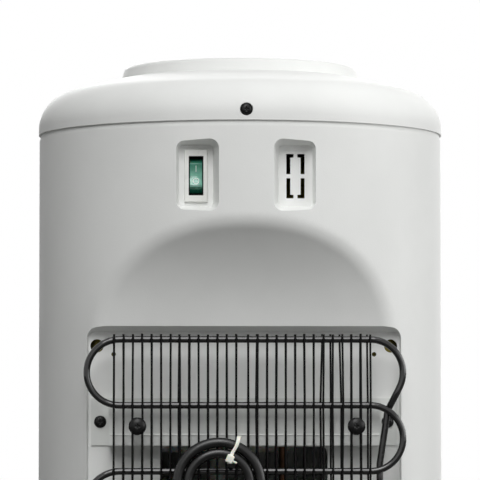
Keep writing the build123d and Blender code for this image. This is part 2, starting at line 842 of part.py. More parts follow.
with BuildPart() as feed_spike:
    rod(level_plane(0, 0, funnel_floor_z), spike_flange_radius, spike_flange_height)
    seal_start = funnel_floor_z + spike_flange_height + spike_groove
    seal_end = funnel_floor_z + spike_seal_rise
    rod(level_plane(0, 0, spike_foot), spike_stem_radius, seal_start - spike_foot)
    rod(level_plane(0, 0, seal_start), spike_tube_radius, seal_end - seal_start)
    rod(level_plane(0, 0, seal_end), spike_head_radius, spike_shoulder - seal_end)
    with BuildSketch(front_plane(0, 0, spike_shoulder)):
        with BuildLine():
            Line((0, 0), (spike_head_radius, 0))
            ThreePointArc(
                (spike_head_radius, 0),
                (0.7 * spike_head_radius, 0.65 * spike_nose),
                (0, spike_nose),
            )
            Line((0, spike_nose), (0, 0))
        make_face()
    revolve(axis=Axis.Z)
    rod(level_plane(0, 0, spike_foot), spike_bore, spike_shoulder - spike_foot, mode=Mode.SUBTRACT)
    window_z = spike_shoulder - spike_window
    window_length, window_gap = 3 * spike_tube_radius, spike_tube_radius / 2
    for size in ((window_length, window_gap), (window_gap, window_length)):
        block(0, 0, window_z, *size, spike_window - funnel_wall, mode=Mode.SUBTRACT)
save(feed_spike, "feed_spike")

with BuildPart() as funnel_seal:
    neck_top = level_plane(0, 0, cold_tank_top + neck_height)
    seal_bore = outlet_radius + funnel_wall + fit_gap
    rod(neck_top, neck_radius + 2, seal_height, seal_bore)
    rod(neck_top, neck_radius - tank_sheet - fit_gap, -seal_height, seal_bore)
save(funnel_seal, "funnel_seal")

# ---------------------------------------------------------------- cold tank in its foam
with BuildPart() as cold_tank:
    rod(level_plane(0, tank_y, cold_tank_bottom), cold_tank_radius, cold_tank_top - cold_tank_bottom)
    fillet(cold_tank.edges().filter_by(GeomType.CIRCLE), tank_corner)
    rod(level_plane(0, 0, cold_tank_top), neck_radius, neck_height)
    offset(amount=-tank_sheet, openings=cold_tank.faces().sort_by(Axis.Z)[-1])
    for x, y in cold_tank_ports:
        port = level_plane(x, y, cold_stub_foot)
        depth = cold_tank_bottom - cold_stub_foot
        rod(port, stub_radius, depth + tank_sheet)
        rod(port, stub_radius - tank_sheet, depth + 2 * tank_sheet, mode=Mode.SUBTRACT)
save(cold_tank, "cold_tank")

with BuildPart() as tank_baffle:
    rod(level_plane(0, tank_y, baffle_z), cold_tank_radius - tank_sheet - fit_gap, baffle_thickness)
    tube_foot = cold_tank_bottom + 2 * tank_sheet
    rod(level_plane(*feed_port, tube_foot), stub_radius, baffle_z - tube_foot)
    rod(level_plane(*feed_port, tube_foot), stub_radius - tank_sheet, cold_tank_top, mode=Mode.SUBTRACT)
    with BuildSketch(level_plane(0, tank_y, baffle_z)):
        with PolarLocations(cold_tank_radius - 3 * stub_radius, 6):
            Circle(stub_radius)
    extrude(amount=baffle_thickness, mode=Mode.SUBTRACT)
save(tank_baffle, "tank_baffle")

with BuildPart() as evaporator_coil:
    start_way = (cos(radians(coil_start_angle)), sin(radians(coil_start_angle)), 0)
    with BuildLine(Plane(origin=(0, tank_y, coil_start_z), x_dir=start_way, z_dir=(0, 0, 1))) as coil:
        Helix(pitch=coil_pitch, height=coil_pitch * coil_turns, radius=coil_radius)
    with BuildSketch(Plane(origin=coil.line @ 0, z_dir=coil.line % 0)):
        Circle(coil_tube_radius)
    sweep(path=coil.wires()[0], is_frenet=True)
save(evaporator_coil, "evaporator_coil")
coil_inlet = coil.line @ 0
coil_outlet = coil.line @ 1
inlet_bend = coil_inlet - (coil.line % 0) * coil_tail
outlet_bend = coil_outlet + (coil.line % 1) * coil_tail
tail_spots = [(inlet_bend.X, inlet_bend.Y), (outlet_bend.X, outlet_bend.Y)]


def tank_floor_holes(low):
    """Cut the holes for the water stubs and the coil's two tails."""
    for x, y in (*cold_tank_ports, *tail_spots):
        hole_depth = cold_tank_bottom - low
        rod(level_plane(x, y, low), stub_radius + slide_gap, hole_depth, mode=Mode.SUBTRACT)


with BuildPart() as cold_tank_insulation:
    with BuildSketch(level_plane(0, 0, foam_bottom)):
        Circle(foam_radius)
        depth = foam_rear_y - foam_front_y
        with Locations((0, foam_front_y)):
            Rectangle(2 * body_radius, depth, align=(Align.CENTER, Align.MIN), mode=Mode.INTERSECT)
    extrude(amount=foam_top - foam_bottom)
    cavity_height = cold_tank_top - cold_tank_bottom + fit_gap
    rod(level_plane(0, tank_y, cold_tank_bottom), foam_cavity_radius, cavity_height, mode=Mode.SUBTRACT)
    rod(level_plane(0, 0, cold_tank_top), neck_radius + fit_gap, foam_top, mode=Mode.SUBTRACT)
    tank_floor_holes(foam_bottom)
save(cold_tank_insulation, "cold_tank_insulation")

with BuildPart() as tank_shelf:
    with BuildSketch(level_plane(0, 0, shelf_top - shelf_sheet)):
        Circle(inner_radius - fit_gap)
        front_edge = niche_back_y + shell_wall + fit_gap
        depth = recess_floor_y - shell_wall - fit_gap - front_edge
        with Locations((0, front_edge)):
            Rectangle(2 * body_radius, depth, align=(Align.CENTER, Align.MIN), mode=Mode.INTERSECT)
    extrude(amount=shelf_sheet)
    tank_floor_holes(shelf_top - shelf_sheet)
save(tank_shelf, "tank_shelf")

# ---------------------------------------------------------------- base, feet and compressor
foot_spots = [(foot_circle * cos(radians(a)), foot_circle * sin(radians(a))) for a in (45, 135, 225, 315)]

with BuildPart() as base_plate:
    rod(level_plane(0, 0, foot_height), inner_radius - fit_gap, base_flange)
    tray_radius = inner_radius - fit_gap - base_sheet
    rod(level_plane(0, 0, base_top), tray_radius, base_flange, mode=Mode.SUBTRACT)
    rear_length = body_radius - recess_floor_y + shell_wall
    block(0, body_radius, base_top, 2 * body_radius, 2 * rear_length, base_flange, mode=Mode.SUBTRACT)
    for x, y in foot_spots:
        rod(level_plane(x, y, 0), foot_stem_radius + fit_gap, 2 * foot_height, mode=Mode.SUBTRACT)
    for x, y in mount_points:
        rod(level_plane(x, y, base_top), stud_radius, stud_height)
    with BuildSketch(level_plane(0, niche_back_y - vent_length / 2, foot_height)):
        with GridLocations(vent_pitch, 1, vent_count, 1):
            SlotOverall(vent_length, vent_width, rotation=90)
    extrude(amount=base_sheet, mode=Mode.SUBTRACT)
save(base_plate, "base_plate")

with BuildPart() as rubber_feet:
    for x, y in foot_spots:
        rod(level_plane(x, y, 0), foot_radius, foot_height)
    soles = rubber_feet.edges().filter_by(GeomType.CIRCLE).group_by(Axis.Z)[0]
    chamfer(soles, foot_chamfer)
    for x, y in foot_spots:
        rod(level_plane(x, y, foot_height), foot_stem_radius, 3 * base_sheet)
        rod(level_plane(x, y, base_top), foot_stem_radius + 1, 2 * base_sheet)
save(rubber_feet, "rubber_feet")

with BuildPart() as compressor_shell:
    height = compressor_top - mount_plate_top
    rod(level_plane(compressor_x, compressor_y, mount_plate_top), compressor_radius, height)
    fillet(compressor_shell.edges().filter_by(GeomType.CIRCLE).sort_by(Axis.Z)[-1], compressor_dome)
    fillet(compressor_shell.edges().filter_by(GeomType.CIRCLE).sort_by(Axis.Z)[0], compressor_base_round)
    offset(amount=-compressor_sheet, mode=Mode.SUBTRACT)
    boss_reach = compressor_radius - 2 * compressor_sheet
    boss_way = Vector(cos(radians(discharge_angle)), sin(radians(discharge_angle)), 0)
    boss_root = Vector(compressor_x, compressor_y, discharge_boss_z) + boss_way * boss_reach
    boss_length = 2 * compressor_sheet + compressor_boss_length
    rod(Plane(origin=boss_root, z_dir=boss_way), compressor_boss_radius, boss_length)
    suction_depth = compressor_dome + compressor_boss_length
    rod(level_plane(*suction_boss_spot, suction_boss_z), compressor_boss_radius, -suction_depth)
save(compressor_shell, "compressor_shell")
discharge_end = boss_root + boss_way * boss_length

with BuildPart() as compressor_motor:
    rod(level_plane(compressor_x, compressor_y, motor_bottom), motor_radius, motor_top - motor_bottom)
    floor_z = mount_plate_top + compressor_sheet
    for angle in (90, 210, 330):
        x = compressor_x + motor_leg_circle * cos(radians(angle))
        y = compressor_y + motor_leg_circle * sin(radians(angle))
        rod(level_plane(x, y, floor_z), motor_leg_radius, motor_bottom - floor_z)
save(compressor_motor, "compressor_motor")

with BuildPart() as compressor_mount_plate:
    with BuildSketch(level_plane(compressor_x, compressor_y, mount_plate_z)):
        margin = 2 * grommet_radius + 2
        RectangleRounded(2 * mount_half_x + margin, 2 * mount_half_y + margin, grommet_radius)
        with GridLocations(2 * mount_half_x, 2 * mount_half_y, 2, 2):
            Circle(grommet_neck + fit_gap, mode=Mode.SUBTRACT)
    extrude(amount=mount_plate_sheet)
save(compressor_mount_plate, "compressor_mount_plate")

with BuildPart() as compressor_grommets:
    for x, y in mount_points:
        bore = stud_radius + fit_gap
        rod(level_plane(x, y, base_top), grommet_radius, grommet_groove, bore)
        rod(level_plane(x, y, mount_plate_z), grommet_neck, mount_plate_sheet, bore)
        rod(level_plane(x, y, mount_plate_top), grommet_radius - 1, grommet_head, bore)
save(compressor_grommets, "compressor_grommets")

with BuildPart() as compressor_nuts:
    for x, y in mount_points:
        with BuildSketch(level_plane(x, y, mount_plate_top + grommet_head)) as nut:
            RegularPolygon(nut_radius, 6)
            Circle(stud_radius + fit_gap, mode=Mode.SUBTRACT)
        extrude(nut.sketch, amount=nut_height)
save(compressor_nuts, "compressor_nuts")

with BuildPart() as compressor_terminal_cover:
    cover_y = compressor_y - compressor_radius - terminal_cover_size[1] / 2 + terminal_cover_bite
    block(compressor_x, cover_y, discharge_boss_z - terminal_cover_size[2] / 2, *terminal_cover_size)
    fillet(compressor_terminal_cover.edges().filter_by(Axis.Z), terminal_cover_round)
    around = level_plane(compressor_x, compressor_y, 0)
    rod(around, compressor_radius, compressor_top, mode=Mode.SUBTRACT)
save(compressor_terminal_cover, "compressor_terminal_cover")

# ---------------------------------------------------------------- hot tank
with BuildPart() as hot_tank:
    hot_height = hot_tank_top - hot_tank_bottom
    rod(level_plane(hot_tank_x, hot_tank_y, hot_tank_bottom), hot_tank_radius, hot_height)
    fillet(hot_tank.edges().filter_by(GeomType.CIRCLE), tank_corner)
    offset(amount=-tank_sheet, mode=Mode.SUBTRACT)
    for (x, y), z, way in (
        (hot_feed_port, hot_tank_bottom, -1),
        (hot_drain_port, hot_tank_bottom, -1),
        (hot_outlet_port, hot_tank_top, 1),
    ):
        port = level_plane(x, y, z - way * tank_sheet)
        length = way * (hot_stub_length + tank_sheet)
        rod(port, stub_radius, length)
        rod(port.offset(-way * tank_sheet), stub_radius - tank_sheet, length + way * tank_sheet,
            mode=Mode.SUBTRACT)
    port = level_plane(heater_x, heater_y, hot_tank_bottom)
    hole = heater_half_pitch + heater_rod_radius + fit_gap
    rod(port, hole, 2 * tank_sheet, mode=Mode.SUBTRACT)
save(hot_tank, "hot_tank")

with BuildPart() as hot_tank_heater:
    rod(level_plane(heater_x, heater_y, hot_tank_bottom), heater_flange_radius, -heater_flange)
    low = hot_tank_bottom - heater_flange - heater_terminal
    high = hot_tank_bottom + heater_reach
    left = heater_x - heater_half_pitch
    right = heater_x + heater_half_pitch
    loop = [(left, heater_y, low), (left, heater_y, high), (right, heater_y, high), (right, heater_y, low)]
    tube_along(loop, heater_half_pitch - 0.5, heater_rod_radius)
save(hot_tank_heater, "hot_tank_heater")

with BuildPart() as hot_tank_jacket:
    band = hot_tank_top - hot_tank_bottom - 2 * tank_corner
    sleeve = level_plane(hot_tank_x, hot_tank_y, hot_tank_bottom + tank_corner)
    rod(sleeve, hot_jacket_radius, band, hot_tank_radius + fit_gap)
save(hot_tank_jacket, "hot_tank_jacket")

with BuildPart() as hot_tank_thermostats:
    for x, y in thermostat_spots:
        rod(level_plane(x, y, hot_tank_top), thermostat_radius, thermostat_height)
        block(x, y, hot_tank_top + thermostat_height, thermostat_radius, thermostat_blade, thermostat_height)
save(hot_tank_thermostats, "hot_tank_thermostats")

with BuildPart() as hot_tank_stand:
    plate_z = hot_tank_bottom - stand_plate
    block(hot_tank_x, hot_tank_y, plate_z, stand_width, stand_width, stand_plate)
    fillet(hot_tank_stand.edges().filter_by(Axis.Z), tank_corner)
    for x, y in (hot_feed_port, hot_drain_port):
        rod(level_plane(x, y, plate_z), stub_radius + slide_gap, stand_plate, mode=Mode.SUBTRACT)
    rod(level_plane(heater_x, heater_y, plate_z), heater_flange_radius + slide_gap, stand_plate,
        mode=Mode.SUBTRACT)
    for i in (-1, 1):
        for j in (-1, 1):
            x = hot_tank_x + i * stand_leg_offset
            y = hot_tank_y + j * stand_leg_offset
            rod(level_plane(x, y, base_top), stand_leg_radius, plate_z - base_top)
save(hot_tank_stand, "hot_tank_stand")

# ---------------------------------------------------------------- pipes and hoses
with BuildPart() as suction_pipe:
    route = [
        coil_outlet,
        outlet_bend,
        Vector(*tail_spots[1], suction_run_z),
        Vector(*suction_boss_spot, suction_run_z),
        Vector(*suction_boss_spot, suction_boss_z),
    ]
    tube_along(route, tube_bend, coil_tube_radius)
save(suction_pipe, "suction_pipe")

with BuildPart() as capillary_tube:
    level = foam_bottom - capillary_run_drop
    route = [
        coil_inlet,
        inlet_bend,
        Vector(*tail_spots[0], level),
        Vector(outlet_x, outlet_y, level),
        Vector(outlet_x, outlet_y, drier_top),
    ]
    tube_along(route, tube_bend, capillary_radius)
save(capillary_tube, "capillary_tube")

with BuildPart() as filter_drier:
    rod(level_plane(outlet_x, outlet_y, drier_bottom), drier_radius, drier_top - drier_bottom)
    chamfer(filter_drier.edges().filter_by(GeomType.CIRCLE), drier_radius / 2)
save(filter_drier, "filter_drier")

with BuildPart() as discharge_pipe:
    route = [
        discharge_start,
        discharge_start + discharge_way * discharge_lead,
        Vector(discharge_x - discharge_sway, discharge_y, rows[0] - discharge_hang),
        Vector(discharge_x, discharge_y, rows[1] - discharge_straight),
        Vector(discharge_x, discharge_y, discharge_entry_z),
        Vector(discharge_x, discharge_inner_y, discharge_entry_z),
        Vector(discharge_x, discharge_inner_y, discharge_boss_z),
        discharge_end,
    ]
    tube_along(route, pipe_bend, tube_radius)
save(discharge_pipe, "discharge_pipe")

hose_top = shelf_top - shelf_sheet - hose_clear
barb_y = niche_back_y + shank_length - barb_inset
barb_end = tap_z - barb_drop + hose_overlap
hot_foot = hot_tank_bottom - stand_plate - hose_clear
drain_inner_y = recess_floor_y - shell_wall - drain_nut - hose_clear
hose_routes = {
    "cold_hose": [
        (*cold_port, hose_top),
        (*cold_port, hose_run_z),
        (tap_x, barb_y, hose_run_z),
        (tap_x, barb_y, barb_end),
    ],
    "hot_feed_hose": [
        (*feed_port, hose_top),
        (*feed_port, hot_feed_run_z),
        (*hot_feed_port, hot_feed_run_z),
        (*hot_feed_port, hot_foot),
    ],
    "hot_outlet_hose": [
        (*hot_outlet_port, hot_tank_top + hose_clear),
        (*hot_outlet_port, hose_run_z),
        (-tap_x, hot_outlet_port[1], hose_run_z),
        (-tap_x, barb_y, hose_run_z),
        (-tap_x, barb_y, barb_end),
    ],
    "drain_hose": [
        (*hot_drain_port, hot_foot),
        (*hot_drain_port, drain_run_z),
        (drain_x, drain_run_y, drain_run_z),
        (drain_x, drain_run_y, drain_z),
        (drain_x, drain_inner_y, drain_z),
    ],
}
for hose_name, route in hose_routes.items():
    with BuildPart() as hose:
        tube_along(route, hose_bend, hose_radius, stub_radius + hose_fit)
    save(hose, hose_name)

with BuildPart() as drain_fitting:
    outer = rear_plane(drain_x, recess_floor_y, drain_z)
    inner = rear_plane(drain_x, recess_floor_y - shell_wall, drain_z)
    rod(outer, drain_flange_radius, drain_nut)
    rod(inner, drain_flange_radius, -drain_nut)
    rod(inner, drain_neck_radius, shell_wall + drain_reach)
    rod(inner, stub_radius, -drain_nut - hose_overlap)
    bore = rear_plane(drain_x, recess_floor_y + drain_reach, drain_z)
    rod(bore, stub_radius - tank_sheet, -3 * hose_overlap, mode=Mode.SUBTRACT)
save(drain_fitting, "drain_fitting")

with BuildPart() as drain_cap:
    seat = rear_plane(drain_x, recess_floor_y + drain_nut + fit_gap, drain_z)
    rod(seat, cap_radius, drain_reach)
    rod(seat, drain_neck_radius + fit_gap, drain_reach - drain_nut, mode=Mode.SUBTRACT)
    with BuildSketch(seat) as grip:
        with PolarLocations(cap_radius, cap_flutes):
            Circle(cap_flute_radius)
    extrude(grip.sketch, amount=drain_reach, mode=Mode.SUBTRACT)
save(drain_cap, "drain_cap")

# ---------------------------------------------------------------- taps
def tap_body(x):
    """A tap's body with its shank, spout, stem chamber and lever ears."""
    with BuildPart() as body:
        wall = front_plane(x, niche_back_y, tap_z)
        barb_y = niche_back_y + shank_length - barb_inset
        rod(wall, tap_flange_radius, tap_flange)
        rod(wall, barrel_radius, niche_back_y - tap_y)
        rod(wall, shank_radius, -shank_length)
        rod(level_plane(x, barb_y, tap_z), stub_radius, -barb_drop)
        rod(level_plane(x, tap_y, tap_z - tap_body_low), tap_body_radius, tap_body_low + bonnet_height)
        rod(level_plane(x, tap_y, tap_z), spout_radius, -tap_body_low - spout_length)
        for side in (-1, 1):
            ear_x = x + side * (lever_width / 2 + cap_lift_gap + ear_thickness / 2)
            ear_foot = bonnet_top - 2 * lever_hub_radius
            ear_height = pin_z + lever_hub_radius - ear_foot
            block(ear_x, pin_y, ear_foot, ear_thickness, 2 * lever_hub_radius, ear_height)
        chamber = level_plane(x, tap_y, tap_z - seat_drop)
        rod(chamber, tap_chamber_radius, seat_drop + bonnet_height - bonnet_wall, mode=Mode.SUBTRACT)
        rod(chamber, stem_radius + fit_gap, 2 * bonnet_height, mode=Mode.SUBTRACT)
        rod(chamber, spout_bore, -2 * spout_length, mode=Mode.SUBTRACT)
        channel = niche_back_y - tap_y + shank_length - barb_inset
        rod(front_plane(x, tap_y, tap_z), stub_radius - 1, -channel, mode=Mode.SUBTRACT)
        rod(level_plane(x, barb_y, tap_z), stub_radius - 1, -2 * barb_drop, mode=Mode.SUBTRACT)
        pin_line = Plane(origin=(x - lever_width, pin_y, pin_z), z_dir=(1, 0, 0))
        rod(pin_line, pin_radius + pin_clearance / 2, 2 * lever_width, mode=Mode.SUBTRACT)
    return body


def tap_lever(x):
    """A lever whose fork lifts the stem when its paddle is pressed down."""
    with BuildPart() as lever:
        hub = Plane(origin=(x - lever_width / 2, pin_y, pin_z), z_dir=(1, 0, 0))
        rod(hub, lever_hub_radius, lever_width)
        low = pin_z - lever_thickness / 2
        middle = pin_y + lever_tail / 2
        block(x, middle, low, lever_width, lever_tail, lever_thickness)
        slot_width = 2 * (stem_radius + cap_lift_gap)
        slot_start = tap_y - stem_radius - cap_lift_gap
        block(x, slot_start + lever_tail / 2, low, slot_width, lever_tail, lever_thickness, Mode.SUBTRACT)
        with BuildSketch(level_plane(x, pin_y, low)) as paddle:
            with Locations((0, -lever_reach + paddle_width / 2)):
                Circle(paddle_width / 2)
            with Locations((0, -lever_reach / 2)):
                Rectangle(lever_width, lever_reach - paddle_width / 2)
        extrude(paddle.sketch, amount=lever_thickness)
        rod(hub, pin_radius + pin_clearance, lever_width, mode=Mode.SUBTRACT)
    return lever


def tap_stem(x):
    """The stem with its seat washer below and the disc that the fork lifts."""
    with BuildPart() as stem:
        foot = tap_z - seat_drop
        disc = pin_z + lever_thickness / 2 + cap_lift_gap
        rod(level_plane(x, tap_y, foot), seal_radius, seal_disc)
        rod(level_plane(x, tap_y, foot), stem_radius, disc - foot)
        rod(level_plane(x, tap_y, disc), cap_disc_radius, cap_disc)
    return stem


for tap_name, tap_centre in (("hot", -tap_x), ("cold", tap_x)):
    save(tap_body(tap_centre), f"{tap_name}_tap_body")
    save(tap_lever(tap_centre), f"{tap_name}_tap_lever")
    save(tap_stem(tap_centre), f"{tap_name}_tap_stem")

with BuildPart() as tap_lever_pins:
    pin_length = lever_width + 2 * (cap_lift_gap + ear_thickness)
    for x in (-tap_x, tap_x):
        rod(Plane(origin=(x - pin_length / 2, pin_y, pin_z), z_dir=(1, 0, 0)), pin_radius, pin_length)
save(tap_lever_pins, "tap_lever_pins")

with BuildPart() as tap_nuts:
    for x in (-tap_x, tap_x):
        with BuildSketch(rear_plane(x, niche_back_y + shell_wall, tap_z)) as nut:
            RegularPolygon(nut_flats_radius, 6, major_radius=False)
            Circle(shank_radius + fit_gap, mode=Mode.SUBTRACT)
        extrude(nut.sketch, amount=tap_nut_height)
save(tap_nuts, "tap_nuts")

# ---------------------------------------------------------------- indicator panel
with BuildPart() as indicator_panel:
    with BuildSketch(front_plane(0, panel_face_y + panel_thickness, panel_z)):
        RectangleRounded(panel_width, panel_height, panel_corner - fit_gap)
        with GridLocations(lens_pitch, 1, 3, 1):
            Circle(lens_radius + fit_gap, mode=Mode.SUBTRACT)
    extrude(amount=panel_thickness)
save(indicator_panel, "indicator_panel")

board_y = panel_face_y + panel_thickness + shell_wall + board_stand
with BuildPart() as indicator_lenses:
    for x in (-lens_pitch, 0, lens_pitch):
        rod(front_plane(x, board_y, panel_z), lens_radius, board_y - panel_face_y + lens_proud)
    tips = indicator_lenses.edges().filter_by(GeomType.CIRCLE).group_by(Axis.Y)[0]
    fillet(tips, lens_proud)
save(indicator_lenses, "indicator_lenses")

with BuildPart() as indicator_board:
    with BuildSketch(rear_plane(0, board_y, panel_z)):
        Rectangle(board_width, board_height)
    extrude(amount=board_thickness)
    for side in (-1, 1):
        post_x = side * (board_width / 2 - board_post_inset)
        rod(rear_plane(post_x, board_y, panel_z), board_post_radius, -board_stand)
save(indicator_board, "indicator_board")

# ---------------------------------------------------------------- drip tray
def tray_outline(inset):
    """The plan of the tray, round in front and square behind."""
    half = niche_half_width - slide_gap - inset
    back = niche_back_y - slide_gap - inset
    Circle(body_radius - inset)
    with Locations((0, back)):
        Rectangle(2 * half, body_radius, align=(Align.CENTER, Align.MAX), mode=Mode.INTERSECT)


with BuildPart() as drip_tray:
    with BuildSketch(Plane.XY.offset(niche_floor_z)):
        tray_outline(0)
    extrude(amount=tray_height)
    with BuildSketch(Plane.XY.offset(niche_floor_z + tray_wall)):
        tray_outline(tray_wall)
    extrude(amount=tray_height, mode=Mode.SUBTRACT)
    with BuildSketch(Plane.XY.offset(tray_top - grille_thickness)):
        tray_outline(tray_wall / 2)
    extrude(amount=tray_height, mode=Mode.SUBTRACT)
save(drip_tray, "drip_tray")

with BuildPart() as drip_grille:
    with BuildSketch(Plane.XY.offset(tray_top - grille_thickness)):
        tray_outline(tray_wall / 2 + slide_gap)
    extrude(amount=grille_thickness)
    for depth, length, count in grille_rows:
        with BuildSketch(level_plane(0, niche_back_y - depth, tray_top - grille_thickness)) as slots:
            with GridLocations(grille_pitch, 1, count, 1):
                SlotOverall(length, grille_slot, rotation=90)
        extrude(slots.sketch, amount=grille_thickness, mode=Mode.SUBTRACT)
save(drip_grille, "drip_grille")

# ---------------------------------------------------------------- condenser
with BuildPart() as condenser_tube:
    with BuildLine() as tube_route:
        top_bend = (-loop_centre_x, rows[0] - loop_radius)
        arc_angles = (lean_angle, (lean_angle + 90) / 2, 90)
        arc_points = [polar(top_bend, loop_radius, angle) for angle in arc_angles]
        start, middle, end = [(x, condenser_y, z) for x, z in arc_points]
        Line(discharge_start, start)
        ThreePointArc(start, middle, end)
        for i in range(row_count - 1):
            side = 1 if i % 2 == 0 else -1
            reach = side * loop_centre_x
            Line((-reach, condenser_y, rows[i]), (reach, condenser_y, rows[i]))
            ThreePointArc(
                (reach, condenser_y, rows[i]),
                (reach + side * loop_radius, condenser_y, rows[i] - loop_radius),
                (reach, condenser_y, rows[i + 1]),
            )
        FilletPolyline(
            (-loop_centre_x, condenser_y, rows[-1]),
            (outlet_x, condenser_y, rows[-1]),
            (outlet_x, outlet_y, rows[-1]),
            (outlet_x, outlet_y, drier_bottom),
            radius=pipe_bend,
        )
    with BuildSketch(Plane(origin=discharge_start, z_dir=discharge_way * -1)):
        Circle(tube_radius)
    sweep(path=Wire(tube_route.edges()))
save(condenser_tube, "condenser_tube")

with BuildPart() as condenser_wires:
    wire_foot = rows[-1] - wire_bottom_over
    with BuildSketch(level_plane(0, 0, wire_foot)):
        with Locations([(x, condenser_y + s * wire_offset) for x in wires_x for s in (-1, 1)]):
            Circle(wire_radius)
    extrude(amount=rows[0] + wire_top_over - wire_foot)
save(condenser_wires, "condenser_wires")

with BuildPart() as condenser_brackets:
    for bracket_z in bracket_zs:
        foot = bracket_z - bracket_height / 2
        with BuildSketch(level_plane(0, 0, foot)) as section:
            with Locations((0, bracket_face_y)):
                Rectangle(2 * bracket_tab_inner, bracket_sheet, align=(Align.CENTER, Align.MIN))
            for side, outward in ((-1, Align.MAX), (1, Align.MIN)):
                with Locations((side * (bracket_tab_inner - bracket_sheet), recess_floor_y)):
                    Rectangle(bracket_sheet, bracket_stand + bracket_sheet, align=(outward, Align.MIN))
                    tab_width = bracket_tab_outer - bracket_tab_inner + bracket_sheet
                    Rectangle(tab_width, bracket_sheet, align=(outward, Align.MIN))
        extrude(section.sketch, amount=bracket_height)
        lip_centre = bracket_face_y + (bracket_sheet + bracket_lip_step) / 2
        lip_depth = bracket_sheet + bracket_lip_step
        block(0, lip_centre, foot, 2 * bracket_tab_inner, lip_depth, bracket_lip_height)
        hole_depth = 3 * bracket_sheet
        for x in condenser_screw_xs:
            hole = rear_plane(x, bracket_face_y - bracket_sheet, bracket_z - washer_screw_drop)
            rod(hole, washer_screw_radius + fit_gap, hole_depth, mode=Mode.SUBTRACT)
        for x in (-bracket_screw_x, bracket_screw_x):
            hole = rear_plane(x, recess_floor_y - bracket_sheet, bracket_z)
            rod(hole, screw_shank_radius + fit_gap, hole_depth, mode=Mode.SUBTRACT)
save(condenser_brackets, "condenser_brackets")

with BuildPart() as pan_screws:
    pan_screw(rear_plane(0, cover_screw_seat_y, cover_screw_z), pan_screw_length)
    for z in bracket_zs:
        for x in (-bracket_screw_x, bracket_screw_x):
            pan_screw(rear_plane(x, recess_floor_y + bracket_sheet, z), pan_screw_length)
save(pan_screws, "pan_screws")

with BuildPart() as condenser_screws:
    for z in bracket_zs:
        for x in condenser_screw_xs:
            seat = rear_plane(x, outer_wire_face_y, z - washer_screw_drop)
            shoulder = outer_wire_face_y - bracket_face_y - bracket_sheet
            rod(seat, washer_head_radius, washer_head_height)
            rod(seat, shoulder_screw_radius, -shoulder)
            rod(seat, washer_screw_radius, -shoulder - 3 * bracket_sheet)
            cross_recess(seat.offset(washer_head_height), washer_head_height / 2)
save(condenser_screws, "condenser_screws")

# ---------------------------------------------------------------- rocker switch
with BuildPart() as switch_housing:
    face = rear_plane(pocket_x, pocket_floor_y, pocket_z)
    with BuildSketch(face):
        Rectangle(switch_frame_width, switch_frame_height)
    extrude(amount=switch_frame_thickness)
    front_edges = switch_housing.faces().sort_by(Axis.Y)[-1].edges()
    fillet(front_edges, switch_frame_thickness / 2)
    with BuildSketch(face):
        Rectangle(cutout_width - fit_gap, cutout_height - fit_gap)
    extrude(amount=-switch_depth)
    with BuildSketch(face.offset(switch_frame_thickness)):
        Rectangle(switch_opening_width, switch_opening_height)
    extrude(amount=-switch_frame_thickness - switch_depth + switch_back, mode=Mode.SUBTRACT)
    trunnion_start = pocket_x - cutout_width / 2 + trunnion_skin
    trunnion_line = Plane(origin=(trunnion_start, rocker_pivot_y, pocket_z), z_dir=(1, 0, 0))
    trunnion_span = cutout_width - 2 * trunnion_skin
    rod(trunnion_line, trunnion_radius + pin_clearance, trunnion_span, mode=Mode.SUBTRACT)
    blade_y = pocket_floor_y - switch_depth - blade_size[1] / 2
    for i in (-1, 0, 1):
        block(pocket_x, blade_y, pocket_z + i * blade_pitch - blade_size[2] / 2, *blade_size)
save(switch_housing, "switch_housing")

with BuildPart() as switch_rocker:
    outward = (0, cos(radians(rocker_tilt)), sin(radians(rocker_tilt)))
    turned = Plane(origin=(pocket_x, rocker_pivot_y, pocket_z), x_dir=outward, z_dir=(1, 0, 0))
    with BuildSketch(turned):
        with BuildLine():
            Polyline(
                (rocker_rise, -rocker_half_height),
                (rocker_rise - rocker_dip, 0),
                (rocker_rise, rocker_half_height),
                (-rocker_chamfer, rocker_half_height - rocker_chamfer),
                (-rocker_root, rocker_root_half),
                (-rocker_root, -rocker_root_half),
                (-rocker_chamfer, rocker_chamfer - rocker_half_height),
                close=True,
            )
        make_face()
    extrude(amount=rocker_width / 2, both=True)
    with BuildSketch(turned):
        Circle(trunnion_radius)
    extrude(amount=switch_opening_width / 2 + trunnion_reach, both=True)
save(switch_rocker, "switch_rocker")

# ---------------------------------------------------------------- power cord
with BuildPart() as cord_grip:
    outer = rear_plane(grip_x, recess_floor_y, grip_z)
    rod(outer, grip_flange_radius, grip_flange)
    rod(outer, grip_neck_radius, -shell_wall - grip_retainer)
    rod(outer.offset(-shell_wall), grip_flange_radius, -grip_retainer)
    with BuildSketch(outer.offset(grip_flange)) as root:
        Circle(grip_neck_radius)
    with BuildSketch(outer.offset(grip_reach)) as tip:
        Circle(cord_radius + grip_tip_wall)
    loft([root.sketch.faces()[0], tip.sketch.faces()[0]])
    rod(outer.offset(grip_reach - grip_hold), cord_radius, grip_hold, mode=Mode.SUBTRACT)
save(cord_grip, "cord_grip")

cord_start_y = recess_floor_y + grip_reach
hank_left_x = hank_x - hank_outer_turn
